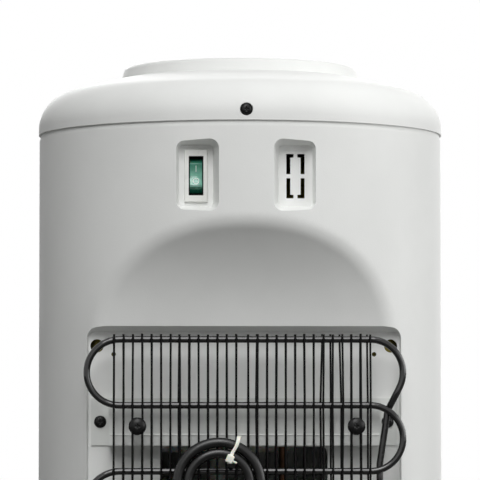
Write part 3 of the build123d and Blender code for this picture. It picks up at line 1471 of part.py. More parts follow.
# places chosen by hand: out of the grip, down into a sag, across, and up into the hank
cord_points = [
    (grip_x, cord_start_y, grip_z),
    (grip_x, cord_start_y + 14, grip_z),
    (grip_x, hank_front_layer_y + 2, grip_z - 13),
    (grip_x, hank_front_layer_y + 2, grip_z - 34),
    (-70, hank_back_layer_y + 6, 48),
    (-42, hank_back_layer_y + 2, 44),
    (-20, hank_back_layer_y, 56),
    (hank_left_x, hank_back_layer_y, 82),
    (hank_left_x, hank_back_layer_y, cord_end_z),
]
cord_radii = arc_radii(cord_points)
print("cord arc radii:", [round(radius, 1) for radius in cord_radii])
with BuildPart() as power_cord:
    tube_along(cord_points, cord_radii, cord_radius)
save(power_cord, "power_cord")

with BuildPart() as power_cord_coil:
    hank_back = hank_back_layer_y - cord_radius
    hank_depth = hank_front_layer_y + cord_radius - hank_back
    hank_half = hank_outer_turn + cord_radius
    hank_mid_z = hank_top - hank_half - hank_straight / 2
    with BuildSketch(rear_plane(hank_x, hank_back, hank_mid_z)):
        SlotCenterToCenter(hank_straight, 2 * hank_half, rotation=90)
        SlotCenterToCenter(
            hank_straight, 2 * (hank_inner_turn - cord_radius), rotation=90, mode=Mode.SUBTRACT
        )
    extrude(amount=hank_depth)
    fillet(power_cord_coil.faces().filter_by(Axis.Y).edges(), cord_radius - 0.5)
save(power_cord_coil, "power_cord_coil")

with BuildPart() as power_cord_tail:
    tail_x = hank_x + hank_outer_turn
    plug_top = plug_low_z + plug_length
    rod(level_plane(tail_x, hank_front_layer_y, plug_top), cord_radius, tail_top_z - plug_top)
save(power_cord_tail, "power_cord_tail")

with BuildPart() as plug:
    with BuildSketch(level_plane(tail_x, hank_front_layer_y, plug_low_z)):
        RectangleRounded(plug_width, plug_depth, plug_round)
    extrude(amount=plug_length - plug_neck)
    with BuildSketch(level_plane(tail_x, hank_front_layer_y, plug_top - plug_neck)) as neck_root:
        Circle(plug_depth / 2 - plug_shoulder)
    with BuildSketch(level_plane(tail_x, hank_front_layer_y, plug_top)) as neck_tip:
        Circle(cord_radius + plug_neck_wall)
    loft([neck_root.sketch.faces()[0], neck_tip.sketch.faces()[0]])
    for side in (-1, 1):
        stud = level_plane(tail_x + side * plug_pin_pitch / 2, hank_front_layer_y, plug_low_z)
        rod(stud, plug_pin_radius, -plug_pin_length)
save(plug, "plug")

with BuildPart() as cable_tie:
    tie_back = condenser_y - wire_offset - wire_radius - tie_gap
    tie_front = hank_front_layer_y + cord_radius + tie_gap
    tie_middle = (tie_x, (tie_back + tie_front) / 2, (tie_low_z + tie_high_z) / 2)
    tie_normal = (cos(radians(tie_lean)), 0, sin(radians(tie_lean)))
    tie_plane = Plane(origin=tie_middle, x_dir=(0, 1, 0), z_dir=tie_normal)
    loop_size = (tie_front - tie_back, (tie_high_z - tie_low_z) / cos(radians(tie_lean)))
    for grow, mode in ((tie_thickness, Mode.ADD), (0, Mode.SUBTRACT)):
        with BuildSketch(tie_plane) as loop:
            RectangleRounded(loop_size[0] + 2 * grow, loop_size[1] + 2 * grow, tie_corner + grow)
        extrude(loop.sketch, amount=tie_width / 2, both=True, mode=mode)
    head_x = tie_x + (loop_size[1] / 2 - tie_head_rise) * sin(radians(tie_lean))
    head_y = tie_front + tie_head[1] / 2
    block(head_x, head_y, tie_low_z, *tie_head)
save(cable_tie, "cable_tie")
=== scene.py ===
import bpy, bmesh, json, math, random
from mathutils import Matrix, Vector


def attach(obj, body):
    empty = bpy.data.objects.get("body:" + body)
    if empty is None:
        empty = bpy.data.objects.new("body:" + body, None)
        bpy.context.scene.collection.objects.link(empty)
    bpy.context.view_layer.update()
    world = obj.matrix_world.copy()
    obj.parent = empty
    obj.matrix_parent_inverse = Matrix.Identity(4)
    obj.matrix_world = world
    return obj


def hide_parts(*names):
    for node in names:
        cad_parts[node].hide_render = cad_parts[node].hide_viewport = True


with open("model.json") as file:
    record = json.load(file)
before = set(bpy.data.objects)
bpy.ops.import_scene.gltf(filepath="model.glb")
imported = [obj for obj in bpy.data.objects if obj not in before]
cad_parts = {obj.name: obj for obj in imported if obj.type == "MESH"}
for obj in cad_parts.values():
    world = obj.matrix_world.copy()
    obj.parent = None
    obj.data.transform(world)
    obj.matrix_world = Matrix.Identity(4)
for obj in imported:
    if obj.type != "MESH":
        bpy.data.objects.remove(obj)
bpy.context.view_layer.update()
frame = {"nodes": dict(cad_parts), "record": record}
nodes = frame["nodes"]
mm = 0.001


# helpers for finishes

def hexColor(code):
    # sRGB hex to the linear numbers that shaders take
    values = [int(code[i:i + 2], 16) / 255 for i in (0, 2, 4)]
    linear = [v / 12.92 if v <= 0.04045 else ((v + 0.055) / 1.055) ** 2.4 for v in values]
    return (*linear, 1.0)


def ownOutput(node):
    # the first output that a node's settings leave in use
    return next(output for output in node.outputs if output.enabled)


def addNode(tree, kind, inputs=None, into=None, **settings):
    # one node with its settings: an input is a number, a colour, another node or one of its
    # outputs, and the node's own output may go into a socket
    node = tree.nodes.new(kind)
    for key, value in settings.items():
        setattr(node, key, value)
    for key, value in (inputs or {}).items():
        if isinstance(value, bpy.types.Node):
            value = ownOutput(value)
        if isinstance(value, bpy.types.NodeSocket):
            tree.links.new(value, node.inputs[key])
        else:
            node.inputs[key].default_value = value
    if into:
        tree.links.new(ownOutput(node), into)
    return node


def newMaterial(name, **inputs):
    # a material with a bare shader, whose sockets are set by their names
    material = bpy.data.materials.new(name)
    material.use_nodes = True
    tree = material.node_tree
    tree.nodes.clear()
    shader = addNode(tree, "ShaderNodeBsdfPrincipled", {k.replace("_", " "): v for k, v in inputs.items()})
    addNode(tree, "ShaderNodeOutputMaterial", {"Surface": shader})
    place = addNode(tree, "ShaderNodeTexCoord").outputs["Object"]
    return material, tree, shader, place


noiseSpan = {"From Min": 0.35, "From Max": 0.65}    # most of a noise's values lie in here


def mottle(tree, shader, place, tones, patch, rough):
    # two near tones and two roughnesses that wander over patches of a real size
    noise = addNode(tree, "ShaderNodeTexNoise", {"Vector": place, "Scale": 1 / patch, "Detail": 3.0})
    share = addNode(tree, "ShaderNodeMapRange", {"Value": noise, **noiseSpan})
    addNode(tree, "ShaderNodeMix", {0: share, 6: hexColor(tones[0]), 7: hexColor(tones[1])},
            shader.inputs["Base Color"], data_type="RGBA")
    addNode(tree, "ShaderNodeMapRange", {"Value": noise, **noiseSpan, "To Min": rough[0], "To Max": rough[1]},
            shader.inputs["Roughness"])


def roughen(tree, shader, place, grit, depth, detail=2.0):
    # a fine unevenness, its bumps of a real width and depth
    bumps = addNode(tree, "ShaderNodeTexNoise", {"Vector": place, "Scale": 1 / grit, "Detail": detail})
    addNode(tree, "ShaderNodeBump", {"Height": bumps, "Distance": depth}, shader.inputs["Normal"])


def sparkGrain(tree, shader, place, grit, depth, feature="SMOOTH_F1"):
    # the leathery grain that a spark-eroded mould leaves on its plastic
    cells = addNode(tree, "ShaderNodeTexVoronoi", {"Vector": place, "Scale": 1 / grit}, feature=feature)
    addNode(tree, "ShaderNodeBump", {"Height": cells, "Distance": depth}, shader.inputs["Normal"])


# helpers for pieces

def finishPiece(piece, body, material, replaced=()):
    # gives a piece its material, its body and the CAD nodes that it stands for
    if material.name not in [m.name for m in piece.data.materials if m]:
        piece.data.materials.append(material)
    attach(piece, body)
    if replaced:
        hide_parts(*replaced)
    return piece


def shadedPiece(name, bm, smoothAngle):
    # a mesh object from a bmesh, smooth but for edges sharper than an angle
    for face in bm.faces:
        face.smooth = True
    for edge in bm.edges:
        edge.smooth = edge.calc_face_angle(0) < math.radians(smoothAngle)
    mesh = bpy.data.meshes.new(name)
    bm.to_mesh(mesh)
    bm.free()
    piece = bpy.data.objects.new(name, mesh)
    bpy.context.scene.collection.objects.link(piece)
    return piece


def meshPiece(name, bm, smoothAngle=35):
    # the same for a shape made here, its faces first turned outward
    bmesh.ops.recalc_face_normals(bm, faces=bm.faces)
    return shadedPiece(name, bm, smoothAngle)


def bodyOf(node):
    # the CAD body that a node rides on
    return next(body for body, held in frame["record"]["behaviour"]["bodies"].items() if node in held)


def slotOf(node):
    # the material slot that the record gives a node
    return next(p["material_slot"] for p in frame["record"]["subparts"] if p["node"] == node)


def nodeCopy(node):
    # a merged copy of a CAD node's mesh as a bmesh
    bm = bmesh.new()
    bm.from_mesh(nodes[node].data)
    bmesh.ops.remove_doubles(bm, verts=bm.verts, dist=0.002 * mm)
    return bm


def smoothNode(node, material, smoothAngle=35):
    # stands a smooth-shaded copy in a CAD node's place
    piece = shadedPiece(node + "_skin", nodeCopy(node), smoothAngle)
    piece.data.materials.clear()
    return finishPiece(piece, bodyOf(node), material, [node])


def spunProfile(bm, points, centre, axis, steps=32):
    # turns a line of (radius, height) points round an axis into a closed shell
    axis = Vector(axis)
    across = axis.orthogonal().normalized()
    verts = [bm.verts.new(Vector(centre) + across * r + axis * h) for r, h in points]
    edges = [bm.edges.new(pair) for pair in zip(verts, verts[1:])]
    bmesh.ops.spin(bm, geom=verts + edges, cent=centre, axis=axis, angle=2 * math.pi, steps=steps,
                   use_merge=True, use_duplicate=False)
    bmesh.ops.remove_doubles(bm, verts=bm.verts, dist=0.002 * mm)


def boxVerts(bm, centre, size, turn=None):
    # a block from its centre and its size
    matrix = Matrix.Translation(centre) @ (turn or Matrix()) @ Matrix.Diagonal((*size, 1))
    return bmesh.ops.create_cube(bm, size=1, matrix=matrix)["verts"]


def newVerts(made):
    # the corners among what an operator has made
    return [g for g in made["geom"] if isinstance(g, bmesh.types.BMVert)]


def addTo(bm, other):
    # joins a finished part of a piece to the rest
    mesh = bpy.data.meshes.new("part")
    other.to_mesh(mesh)
    other.free()
    bm.from_mesh(mesh)
    bpy.data.meshes.remove(mesh)


def bevelAll(bm, width, segments=2, angle=25):
    # rounds every edge that is sharper than an angle
    edges = [e for e in bm.edges if e.calc_face_angle(0) > math.radians(angle)]
    bmesh.ops.bevel(bm, geom=edges, offset=width, offset_type="OFFSET", segments=segments, profile=0.5,
                    affect="EDGES", clamp_overlap=True, material=-1)


def splineCurve(name, points, closed=False):
    # a smooth curve in space with these control points
    line = bpy.data.curves.new(name, "CURVE")
    line.dimensions = "3D"
    line.resolution_u = 8
    spline = line.splines.new("NURBS")
    spline.points.add(len(points) - 1)
    for point, place in zip(spline.points, points):
        point.co = (*place, 1)
    spline.order_u = 3
    spline.use_endpoint_u = not closed
    spline.use_cyclic_u = closed
    return line


def cutAway(piece, cutter):
    # takes the cutter's shape out of a piece and throws the cutter away
    cut = piece.modifiers.new("cut", "BOOLEAN")
    cut.operation = "DIFFERENCE"
    cut.solver = "EXACT"
    cut.use_self = True
    cut.object = cutter
    bpy.context.view_layer.update()
    shape = bpy.data.meshes.new_from_object(piece.evaluated_get(bpy.context.evaluated_depsgraph_get()))
    piece.modifiers.clear()
    piece.data = shape
    bpy.data.objects.remove(cutter)


def curvePath(points, closed=False):
    # the places along a smooth spline with these control points
    holder = bpy.data.objects.new("path", splineCurve("path", points, closed))
    places = [v.co.copy() for v in bpy.data.meshes.new_from_object(holder).vertices]
    bpy.data.objects.remove(holder)
    return places


def tubeAlong(bm, places, radii, sides=20):
    # rings of given radii square to a path, bridged and capped
    rings = []
    for i, place in enumerate(places):
        ahead = places[min(i + 1, len(places) - 1)] - places[max(i - 1, 0)]
        matrix = Matrix.Translation(place) @ ahead.to_track_quat("Z", "X").to_matrix().to_4x4()
        made = bmesh.ops.create_circle(bm, cap_ends=False, segments=sides, radius=radii[i], matrix=matrix)
        rings.append(made["verts"])
    for pair in zip(rings, rings[1:]):
        edges = {e for ring in pair for v in ring for e in v.link_edges if e.other_vert(v) in ring}
        bmesh.ops.bridge_loops(bm, edges=list(edges))
    for ring in (rings[0], rings[-1]):
        bmesh.ops.contextual_create(bm, geom=ring)


# camera, level with the scoop's foot and behind the cabinet

camera = {"azimuth": 178.25, "distance": 2.4, "height": 0.2724, "pitch": 2.855, "lens": 240.6, "sensor": 36,
          "farthest": 50}

eye = bpy.data.objects.new("camera", bpy.data.cameras.new("camera"))
bpy.context.scene.collection.objects.link(eye)
eye.data.lens = camera["lens"]
eye.data.sensor_width = camera["sensor"]
eye.data.clip_end = camera["farthest"]
turn = math.radians(camera["azimuth"])
eye.location = (math.sin(turn) * camera["distance"], -math.cos(turn) * camera["distance"], camera["height"])
level = Vector((-eye.location.x, -eye.location.y, 0)).normalized()
aim = level + Vector((0, 0, math.tan(math.radians(camera["pitch"]))))
eye.rotation_euler = aim.to_track_quat("-Z", "Y").to_euler()
bpy.context.scene.camera = eye
print("camera set")


# materials

# moulded ABS, spark-eroded tool: a fine leathery grain that softens the highlight; real grit is
# about 0.2 mm, drawn at 0.9 mm so that it shows
whiteAbs, tree, shader, place = newMaterial("white_abs_moulded", IOR=1.5, Specular_IOR_Level=0.12)
mottle(tree, shader, place, ("E2E3E1", "E7E8E6"), 60 * mm, (0.45, 0.55))
sparkGrain(tree, shader, place, 0.9 * mm, 0.035 * mm)

# the same ABS in the pockets' fittings, polished tool: a smoother and slightly warmer white
whiteGloss, tree, shader, place = newMaterial("white_abs_polished", IOR=1.53)
mottle(tree, shader, place, ("DEDFDB", "E6E7E3"), 12 * mm, (0.22, 0.32))
roughen(tree, shader, place, 3 * mm, 0.02 * mm)

# powder coat on sheet steel: orange peel about 1.2 mm across, and a satin sheen
powderCoat, tree, shader, place = newMaterial("white_powder_coat", IOR=1.5, Coat_Weight=0.25,
                                              Coat_Roughness=0.2)
mottle(tree, shader, place, ("D3D5D2", "DBDDDA"), 25 * mm, (0.32, 0.45))
roughen(tree, shader, place, 1.2 * mm, 0.06 * mm, detail=1.0)

# dipped black enamel on steel tube: glossy, with soft runs about 4 mm across
blackEnamel, tree, shader, place = newMaterial("black_dipped_enamel", IOR=1.5, Specular_IOR_Level=0.6)
mottle(tree, shader, place, ("050505", "0A0A09"), 9 * mm, (0.07, 0.16))
roughen(tree, shader, place, 4 * mm, 0.12 * mm)

# extruded soft PVC of the cord's sheath: a waxy sheen over a faint unevenness
blackPvc, tree, shader, place = newMaterial("black_pvc_sheath", IOR=1.5, Specular_IOR_Level=0.4)
mottle(tree, shader, place, ("080808", "0F0F0F"), 15 * mm, (0.22, 0.34))
roughen(tree, shader, place, 0.8 * mm, 0.03 * mm)

# zinc-plated screw heads under black chromate: a dull black, a little pitted
blackZinc, tree, shader, place = newMaterial("black_zinc_screw", IOR=1.5, Specular_IOR_Level=0.2)
mottle(tree, shader, place, ("070707", "101010"), 1.5 * mm, (0.22, 0.36))
roughen(tree, shader, place, 0.7 * mm, 0.05 * mm, detail=3.0)

# the tube's enamel on the thin wires: drained to a thin film, a dead black that mirrors little
wireEnamel, tree, shader, place = newMaterial("black_enamel_thin_film", IOR=1.5, Specular_IOR_Level=0.1)
mottle(tree, shader, place, ("040404", "080807"), 9 * mm, (0.25, 0.4))

# natural nylon: milky, lets some light through its thin edges
naturalNylon, tree, shader, place = newMaterial("natural_nylon", IOR=1.53, Subsurface_Weight=0.25,
                                                Subsurface_Scale=1.5 * mm)
mottle(tree, shader, place, ("E9E8DC", "F2F1E6"), 3 * mm, (0.3, 0.45))
roughen(tree, shader, place, 0.6 * mm, 0.03 * mm)

# poured polyurethane foam: olive-brown skin, paler in clouds, over open cells about 2 mm across whose pits
# hold painted shade
pouredFoam, tree, shader, place = newMaterial("poured_polyurethane_foam", IOR=1.45, Specular_IOR_Level=0.2)
cells = addNode(tree, "ShaderNodeTexVoronoi", {"Vector": place, "Scale": 1 / (2.2 * mm)}, feature="F1")
clouds = addNode(tree, "ShaderNodeTexNoise", {"Vector": place, "Scale": 1 / (18 * mm), "Detail": 4.0})
age = addNode(tree, "ShaderNodeMapRange", {"Value": clouds, **noiseSpan})
crust = addNode(tree, "ShaderNodeMix", {0: age, 6: hexColor("7C7232"), 7: hexColor("5E5526")},
                data_type="RGBA")
# painted shade: darker towards the middle of each cell, where its pit is
pitShade = addNode(tree, "ShaderNodeMapRange", {"Value": cells, "From Min": 0.05, "From Max": 0.45})
addNode(tree, "ShaderNodeMix", {0: pitShade, 6: hexColor("3A3416"), 7: crust}, shader.inputs["Base Color"],
        data_type="RGBA")
addNode(tree, "ShaderNodeMapRange", {"Value": clouds, **noiseSpan, "To Min": 0.75, "To Max": 0.95},
        shader.inputs["Roughness"])
addNode(tree, "ShaderNodeBump", {"Height": cells, "Distance": 0.5 * mm}, shader.inputs["Normal"])

# clear green polycarbonate of the rocker over its neon lamp: milky, with painted shade that deepens towards
# its top end
greenRocker, tree, shader, place = newMaterial("green_polycarbonate", IOR=1.58, Roughness=0.18,
                                               Subsurface_Weight=0.3, Subsurface_Scale=2 * mm)
# painted shade: over these heights the milky green darkens to a deep green at the top end
milkyBelow, shadedAbove = 0.432, 0.444       # heights over the table, in metres
height = addNode(tree, "ShaderNodeSeparateXYZ", {"Vector": place}).outputs["Z"]
topShade = addNode(tree, "ShaderNodeMapRange", {"Value": height, "From Min": milkyBelow, "From Max": shadedAbove})
flow = addNode(tree, "ShaderNodeTexNoise", {"Vector": place, "Scale": 1 / (2.5 * mm), "Detail": 2.0})
share = addNode(tree, "ShaderNodeMapRange", {"Value": flow, **noiseSpan})
milk = addNode(tree, "ShaderNodeMix", {0: share, 6: hexColor("5FA48E"), 7: hexColor("539983")},
               data_type="RGBA")
addNode(tree, "ShaderNodeMix", {0: topShade, 6: milk, 7: hexColor("1E6E55")}, shader.inputs["Base Color"],
        data_type="RGBA")
addNode(tree, "ShaderNodeBump", {"Height": flow, "Distance": 0.05 * mm}, shader.inputs["Normal"])

# the rocker's lower end: a deep green copy of the rocker, painted shade on its downward slope
greenShadedEnd, tree, shader, place = newMaterial("green_polycarbonate_painted_shade", IOR=1.58)
mottle(tree, shader, place, ("0F5A45", "17694F"), 3 * mm, (0.15, 0.3))
roughen(tree, shader, place, 2 * mm, 0.03 * mm)

# pad-printed ink: thin, slightly patchy
whiteInk, tree, shader, place = newMaterial("white_pad_print", IOR=1.5)
mottle(tree, shader, place, ("CFE0D8", "E6EFE9"), 0.6 * mm, (0.4, 0.6))

# glass-filled black nylon and ABS for covers, grips and the plug: dull with a fine grit
blackPlastic, tree, shader, place = newMaterial("black_moulded_nylon", IOR=1.53, Specular_IOR_Level=0.3)
mottle(tree, shader, place, ("0A0A0A", "161616"), 14 * mm, (0.42, 0.6))
sparkGrain(tree, shader, place, 0.8 * mm, 0.05 * mm, "F1")

# vulcanised rubber: dead matt, with a faint grey bloom in patches
blackRubber, tree, shader, place = newMaterial("black_vulcanised_rubber", IOR=1.52, Specular_IOR_Level=0.3)
mottle(tree, shader, place, ("141414", "232322"), 8 * mm, (0.75, 0.9))
roughen(tree, shader, place, 0.9 * mm, 0.06 * mm)

# grey moulded ABS of the tray and the lamp panel
greyAbs, tree, shader, place = newMaterial("grey_abs_moulded", IOR=1.53)
mottle(tree, shader, place, ("6F7476", "7B8082"), 30 * mm, (0.38, 0.52))
sparkGrain(tree, shader, place, 0.9 * mm, 0.04 * mm)

# coloured acetal of the tap levers: waxy and even
redAcetal, tree, shader, place = newMaterial("red_acetal", IOR=1.48, Subsurface_Weight=0.05,
                                             Subsurface_Scale=1 * mm)
mottle(tree, shader, place, ("A5231D", "B52B23"), 10 * mm, (0.26, 0.38))
roughen(tree, shader, place, 1.5 * mm, 0.03 * mm)
blueAcetal, tree, shader, place = newMaterial("blue_acetal", IOR=1.48, Subsurface_Weight=0.05,
                                              Subsurface_Scale=1 * mm)
mottle(tree, shader, place, ("1C4E9A", "2358A6"), 10 * mm, (0.26, 0.38))
roughen(tree, shader, place, 1.5 * mm, 0.03 * mm)

# zinc-plated sheet: spangle 8 mm across, each crystal its own dull grey
zincSheet, tree, shader, place = newMaterial("galvanised_sheet", Metallic=0.85)
spangle = addNode(tree, "ShaderNodeTexVoronoi", {"Vector": place, "Scale": 1 / (8 * mm)}, feature="F1")
crystal = addNode(tree, "ShaderNodeSeparateColor", {"Color": spangle.outputs["Color"]})
addNode(tree, "ShaderNodeMix", {0: crystal, 6: hexColor("8E9496"), 7: hexColor("B4B9BB")},
        shader.inputs["Base Color"], data_type="RGBA")
addNode(tree, "ShaderNodeMapRange", {"Value": crystal, "To Min": 0.3, "To Max": 0.5},
        shader.inputs["Roughness"])
addNode(tree, "ShaderNodeBump", {"Height": spangle, "Distance": 0.05 * mm}, shader.inputs["Normal"])

# drawn stainless steel: fine level polishing lines, drawn 0.5 mm apart so that they show
drawnSteel, tree, shader, place = newMaterial("drawn_stainless_steel", Metallic=1.0, Anisotropic=0.4)
stretched = addNode(tree, "ShaderNodeMapping", {"Vector": place, "Scale": (0.04, 0.04, 1)})
lines = addNode(tree, "ShaderNodeTexNoise", {"Vector": stretched, "Scale": 1 / (0.5 * mm), "Detail": 3.0})
addNode(tree, "ShaderNodeMix", {0: lines, 6: hexColor("BDBDBA"), 7: hexColor("D3D3D0")},
        shader.inputs["Base Color"], data_type="RGBA")
addNode(tree, "ShaderNodeMapRange", {"Value": lines, **noiseSpan, "To Min": 0.18, "To Max": 0.34},
        shader.inputs["Roughness"])
addNode(tree, "ShaderNodeBump", {"Height": lines, "Distance": 0.02 * mm}, shader.inputs["Normal"])

# refrigeration copper, painted a dark brown as the shade it sits in inside the cabinet, in two tones that
# wander in patches
drawnCopper, tree, shader, place = newMaterial("drawn_copper", Metallic=1.0)
mottle(tree, shader, place, ("5E4434", "3E2E24"), 16 * mm, (0.24, 0.45))
roughen(tree, shader, place, 1.2 * mm, 0.05 * mm)

# nickel plate on the nuts and the plug's pins
nickelPlate, tree, shader, place = newMaterial("nickel_plate", Metallic=1.0)
mottle(tree, shader, place, ("B9B5AC", "CFCBC2"), 4 * mm, (0.2, 0.34))

# translucent silicone hose: cloudy, with a soft skin
siliconeHose, tree, shader, place = newMaterial("silicone_hose", IOR=1.41, Subsurface_Weight=0.5,
                                                Subsurface_Scale=3 * mm)
mottle(tree, shader, place, ("D9D8CF", "E4E3DB"), 10 * mm, (0.3, 0.42))
roughen(tree, shader, place, 1.5 * mm, 0.04 * mm)

# diffusing lens over a lamp
milkLens, tree, shader, place = newMaterial("milk_lens", IOR=1.49, Transmission_Weight=0.35,
                                            Subsurface_Weight=0.3, Subsurface_Scale=1 * mm)
mottle(tree, shader, place, ("D8DDD9", "E6EAE7"), 2 * mm, (0.2, 0.35))

# green solder mask over copper tracks 1.5 mm apart
solderMask, tree, shader, place = newMaterial("solder_mask", IOR=1.5, Roughness=0.3)
tracks = addNode(tree, "ShaderNodeTexBrick",
                 {"Vector": place, "Scale": 1.0, "Color1": hexColor("1E6A3C"), "Color2": hexColor("246F42"),
                  "Mortar": hexColor("3E8A58"), "Mortar Size": 0.25 * mm, "Brick Width": 6 * mm,
                  "Row Height": 1.5 * mm}, shader.inputs["Base Color"])
addNode(tree, "ShaderNodeBump", {"Height": tracks.outputs["Fac"], "Distance": 0.03 * mm},
        shader.inputs["Normal"])

slotMaterials = {
    "white_plastic": whiteAbs,
    "grey_plastic": greyAbs,
    "black_plastic": blackPlastic,
    "green_rocker": greenRocker,
    "hot_red": redAcetal,
    "cold_blue": blueAcetal,
    "clear_lens": milkLens,
    "white_sheet": powderCoat,
    "galvanised_sheet": zincSheet,
    "black_enamel": blackEnamel,
    "black_screw": blackZinc,
    "stainless": drawnSteel,
    "copper": drawnCopper,
    "nickel": nickelPlate,
    "foam": pouredFoam,
    "circuit_board": solderMask,
    "clear_silicone": siliconeHose,
    "black_rubber": blackRubber,
    "black_pvc": blackPvc,
    "white_nylon": naturalNylon,
}
print("materials made")


# power cord: out of its grip, under the condenser, then up into a hank that hangs from a tie

cord = {
    "radius": 0.0035,
    "length": 1.5,
    "lead": [
        (-0.0893, 0.111, 0.100),
        (-0.0893, 0.125, 0.100),
        (-0.0893, 0.1435, 0.087),
        (-0.0893, 0.1435, 0.066),
        (-0.070, 0.140, 0.048),
        (-0.042, 0.136, 0.044),
        (-0.020, 0.134, 0.056),
        (-0.0109, 0.134, 0.082),
        (-0.0109, 0.134, 0.107),
    ],
    "centreX": 0.019,
    "topZ": 0.2126,
    "footZ": 0.1286,
    "outer": 0.0299,
    "inner": 0.0224,
    "back": 0.134,
    "front": 0.1415,
    "tailZ": (0.110, 0.094),        # the last two points, down to the plug's neck
    "foldPoints": 7,
    "pull": 1 / 0.975,              # control points stand outside the fold that the spline makes
}

# each strand runs up the left, over the top, down the right and back along the foot
strands = [("outer", "back"), ("inner", "back"), ("inner", "front"), ("outer", "front")]
middleZ = (cord["footZ"] + cord["topZ"]) / 2
cordPoints = list(cord["lead"])
for i, (reach, layer) in enumerate(strands):
    radius, y = cord[reach], cord[layer]
    for z in (cord["footZ"], middleZ, cord["topZ"]):
        cordPoints.append((cord["centreX"] - radius, y, z))
    for step in range(1, cord["foldPoints"]):
        angle = math.pi * (1 - step / cord["foldPoints"])
        cordPoints.append((cord["centreX"] + radius * cord["pull"] * math.cos(angle), y,
                           cord["topZ"] + radius * cord["pull"] * math.sin(angle)))
    for z in (cord["topZ"], middleZ, cord["footZ"]):
        cordPoints.append((cord["centreX"] + radius, y, z))
    if i < len(strands) - 1:
        nextRadius, nextY = cord[strands[i + 1][0]], cord[strands[i + 1][1]]
        for step in range(1, cord["foldPoints"]):
            share = step / cord["foldPoints"]
            angle = -math.pi * share
            bend = (radius + (nextRadius - radius) * share) * cord["pull"]
            cordPoints.append((cord["centreX"] + bend * math.cos(angle), y + (nextY - y) * share,
                               cord["footZ"] + bend * math.sin(angle)))
for z in cord["tailZ"]:
    cordPoints.append((cord["centreX"] + cord["outer"], cord["front"], z))

line = splineCurve("power_lead", cordPoints)
line.bevel_depth = cord["radius"]
line.bevel_resolution = 5
line.use_fill_caps = True
powerLead = bpy.data.objects.new("power_lead", line)
bpy.context.scene.collection.objects.link(powerLead)
finishPiece(powerLead, "cabinet", blackPvc, ["power_cord", "power_cord_coil", "power_cord_tail"])
print("cord laid,", len(cordPoints), "points")


# screws: pan heads in the cover and brackets, broad truss heads that hold the condenser

screws = {
    "pan": {"radius": 4.4 * mm, "height": 2.3 * mm, "shank": 1.9 * mm},
    "truss": {"radius": 6.3 * mm, "height": 2.6 * mm, "shank": 1.5 * mm},
    "dome": [(0.35, 0.97), (0.62, 0.82), (0.84, 0.55)],     # shares of a head's radius and height
    "rim": 0.22,
    "stub": 3 * mm,
    "cross": 4.4 * mm,
    "slot": 1.15 * mm,
    "cutter": 2.6 * mm,
    "taper": 0.45,
    "coverSeat": (0, 0.1485, 0.477),
    "bracketZ": (0.2568, 0.1632),
    "bracketY": 0.0962,
    "bracketX": 0.1031,
    "condenserX": (0.0764, -0.0790),
    "condenserY": 0.1219,
    "condenserDrop": 3.0 * mm,
}


def crossHead(bm, seat, radius, height, shank):
    # a domed head with a washer-like rim, its seat facing into the cabinet
    rim = screws["rim"] * height
    profile = [(0, height)] + [(across * radius, up * height) for across, up in screws["dome"]]
    profile += [(0.97 * radius, rim), (radius, 0.4 * rim), (0.96 * radius, 0), (shank, 0),
                (shank, -screws["stub"]), (0, -screws["stub"])]
    spunProfile(bm, profile, seat, (0, 1, 0))


def crossCutter(bm, seat, height):
    # two crossed wedges that are narrower at the foot of the recess
    x, y, z = seat
    for wide, high in ((screws["cross"], screws["slot"]), (screws["slot"], screws["cross"])):
        verts = boxVerts(bm, (x, y + height, z), (wide, screws["cutter"], high))
        low = [v for v in verts if v.co.y < y + height]
        bmesh.ops.scale(bm, vec=(screws["taper"], 1, screws["taper"]), verts=low,
                        space=Matrix.Translation((-x, -y, -z)))


def screwSet(name, kind, seats, node):
    # equal heads, each with its cross recess, as one piece
    heads, cutters = bmesh.new(), bmesh.new()
    for seat in seats:
        crossHead(heads, seat, **screws[kind])
        crossCutter(cutters, seat, screws[kind]["height"])
    piece = meshPiece(name, heads, 30)
    cutAway(piece, meshPiece(name + "_cutter", cutters))
    finishPiece(piece, "cabinet", blackZinc, [node])


panSeats = [screws["coverSeat"]] + [(side * screws["bracketX"], screws["bracketY"], z)
                                    for z in screws["bracketZ"] for side in (-1, 1)]
trussSeats = [(x, screws["condenserY"], z - screws["condenserDrop"])
              for z in screws["bracketZ"] for x in screws["condenserX"]]
screwSet("pan_head_screws", "pan", panSeats, "pan_screws")
screwSet("truss_head_screws", "truss", trussSeats, "condenser_screws")
print("screws made")


# condenser wires: each a little out of true between the rows, with a weld nugget at each crossing

condenser = {
    "wireRadius": 0.75 * mm,
    "centreY": 0.118,
    "offset": 3.05 * mm,
    "topRow": 0.3154,
    "rowPitch": 0.0468,
    "rows": 5,
    "firstX": 0.0931,
    "pitch": 0.00668,
    "perGroup": 14,
    "middleGap": 0.00846,
    "topOver": 3.9 * mm,
    "footOver": 4.2 * mm,
    "topCut": (-0.6, 0.2),          # how unevenly the ends are cut, in mm
    "footCut": (-0.2, 0.6),
    "waver": 0.25 * mm,
    "nugget": 1.05 * mm,
    "nuggetShape": (1.35, 0.8, 1.1, 1),
    "nuggetIn": 0.5 * mm,
    "strayed": {(22, -1): (0.4, 2.0, 1.6), (23, -1): (1.6, 1.3, 1.2), (24, -1): (1.5, 0.3, 0.2),
                (24, 1): (-0.3, -0.6, -0.3), (27, -1): (1.8, 1.7, 1.6), (15, -1): (0.2, 0.9, 0.4),
                (7, -1): (0.5, 0.9, 0.6)},   # wire, side: how far off it is at the top rows, in mm
}

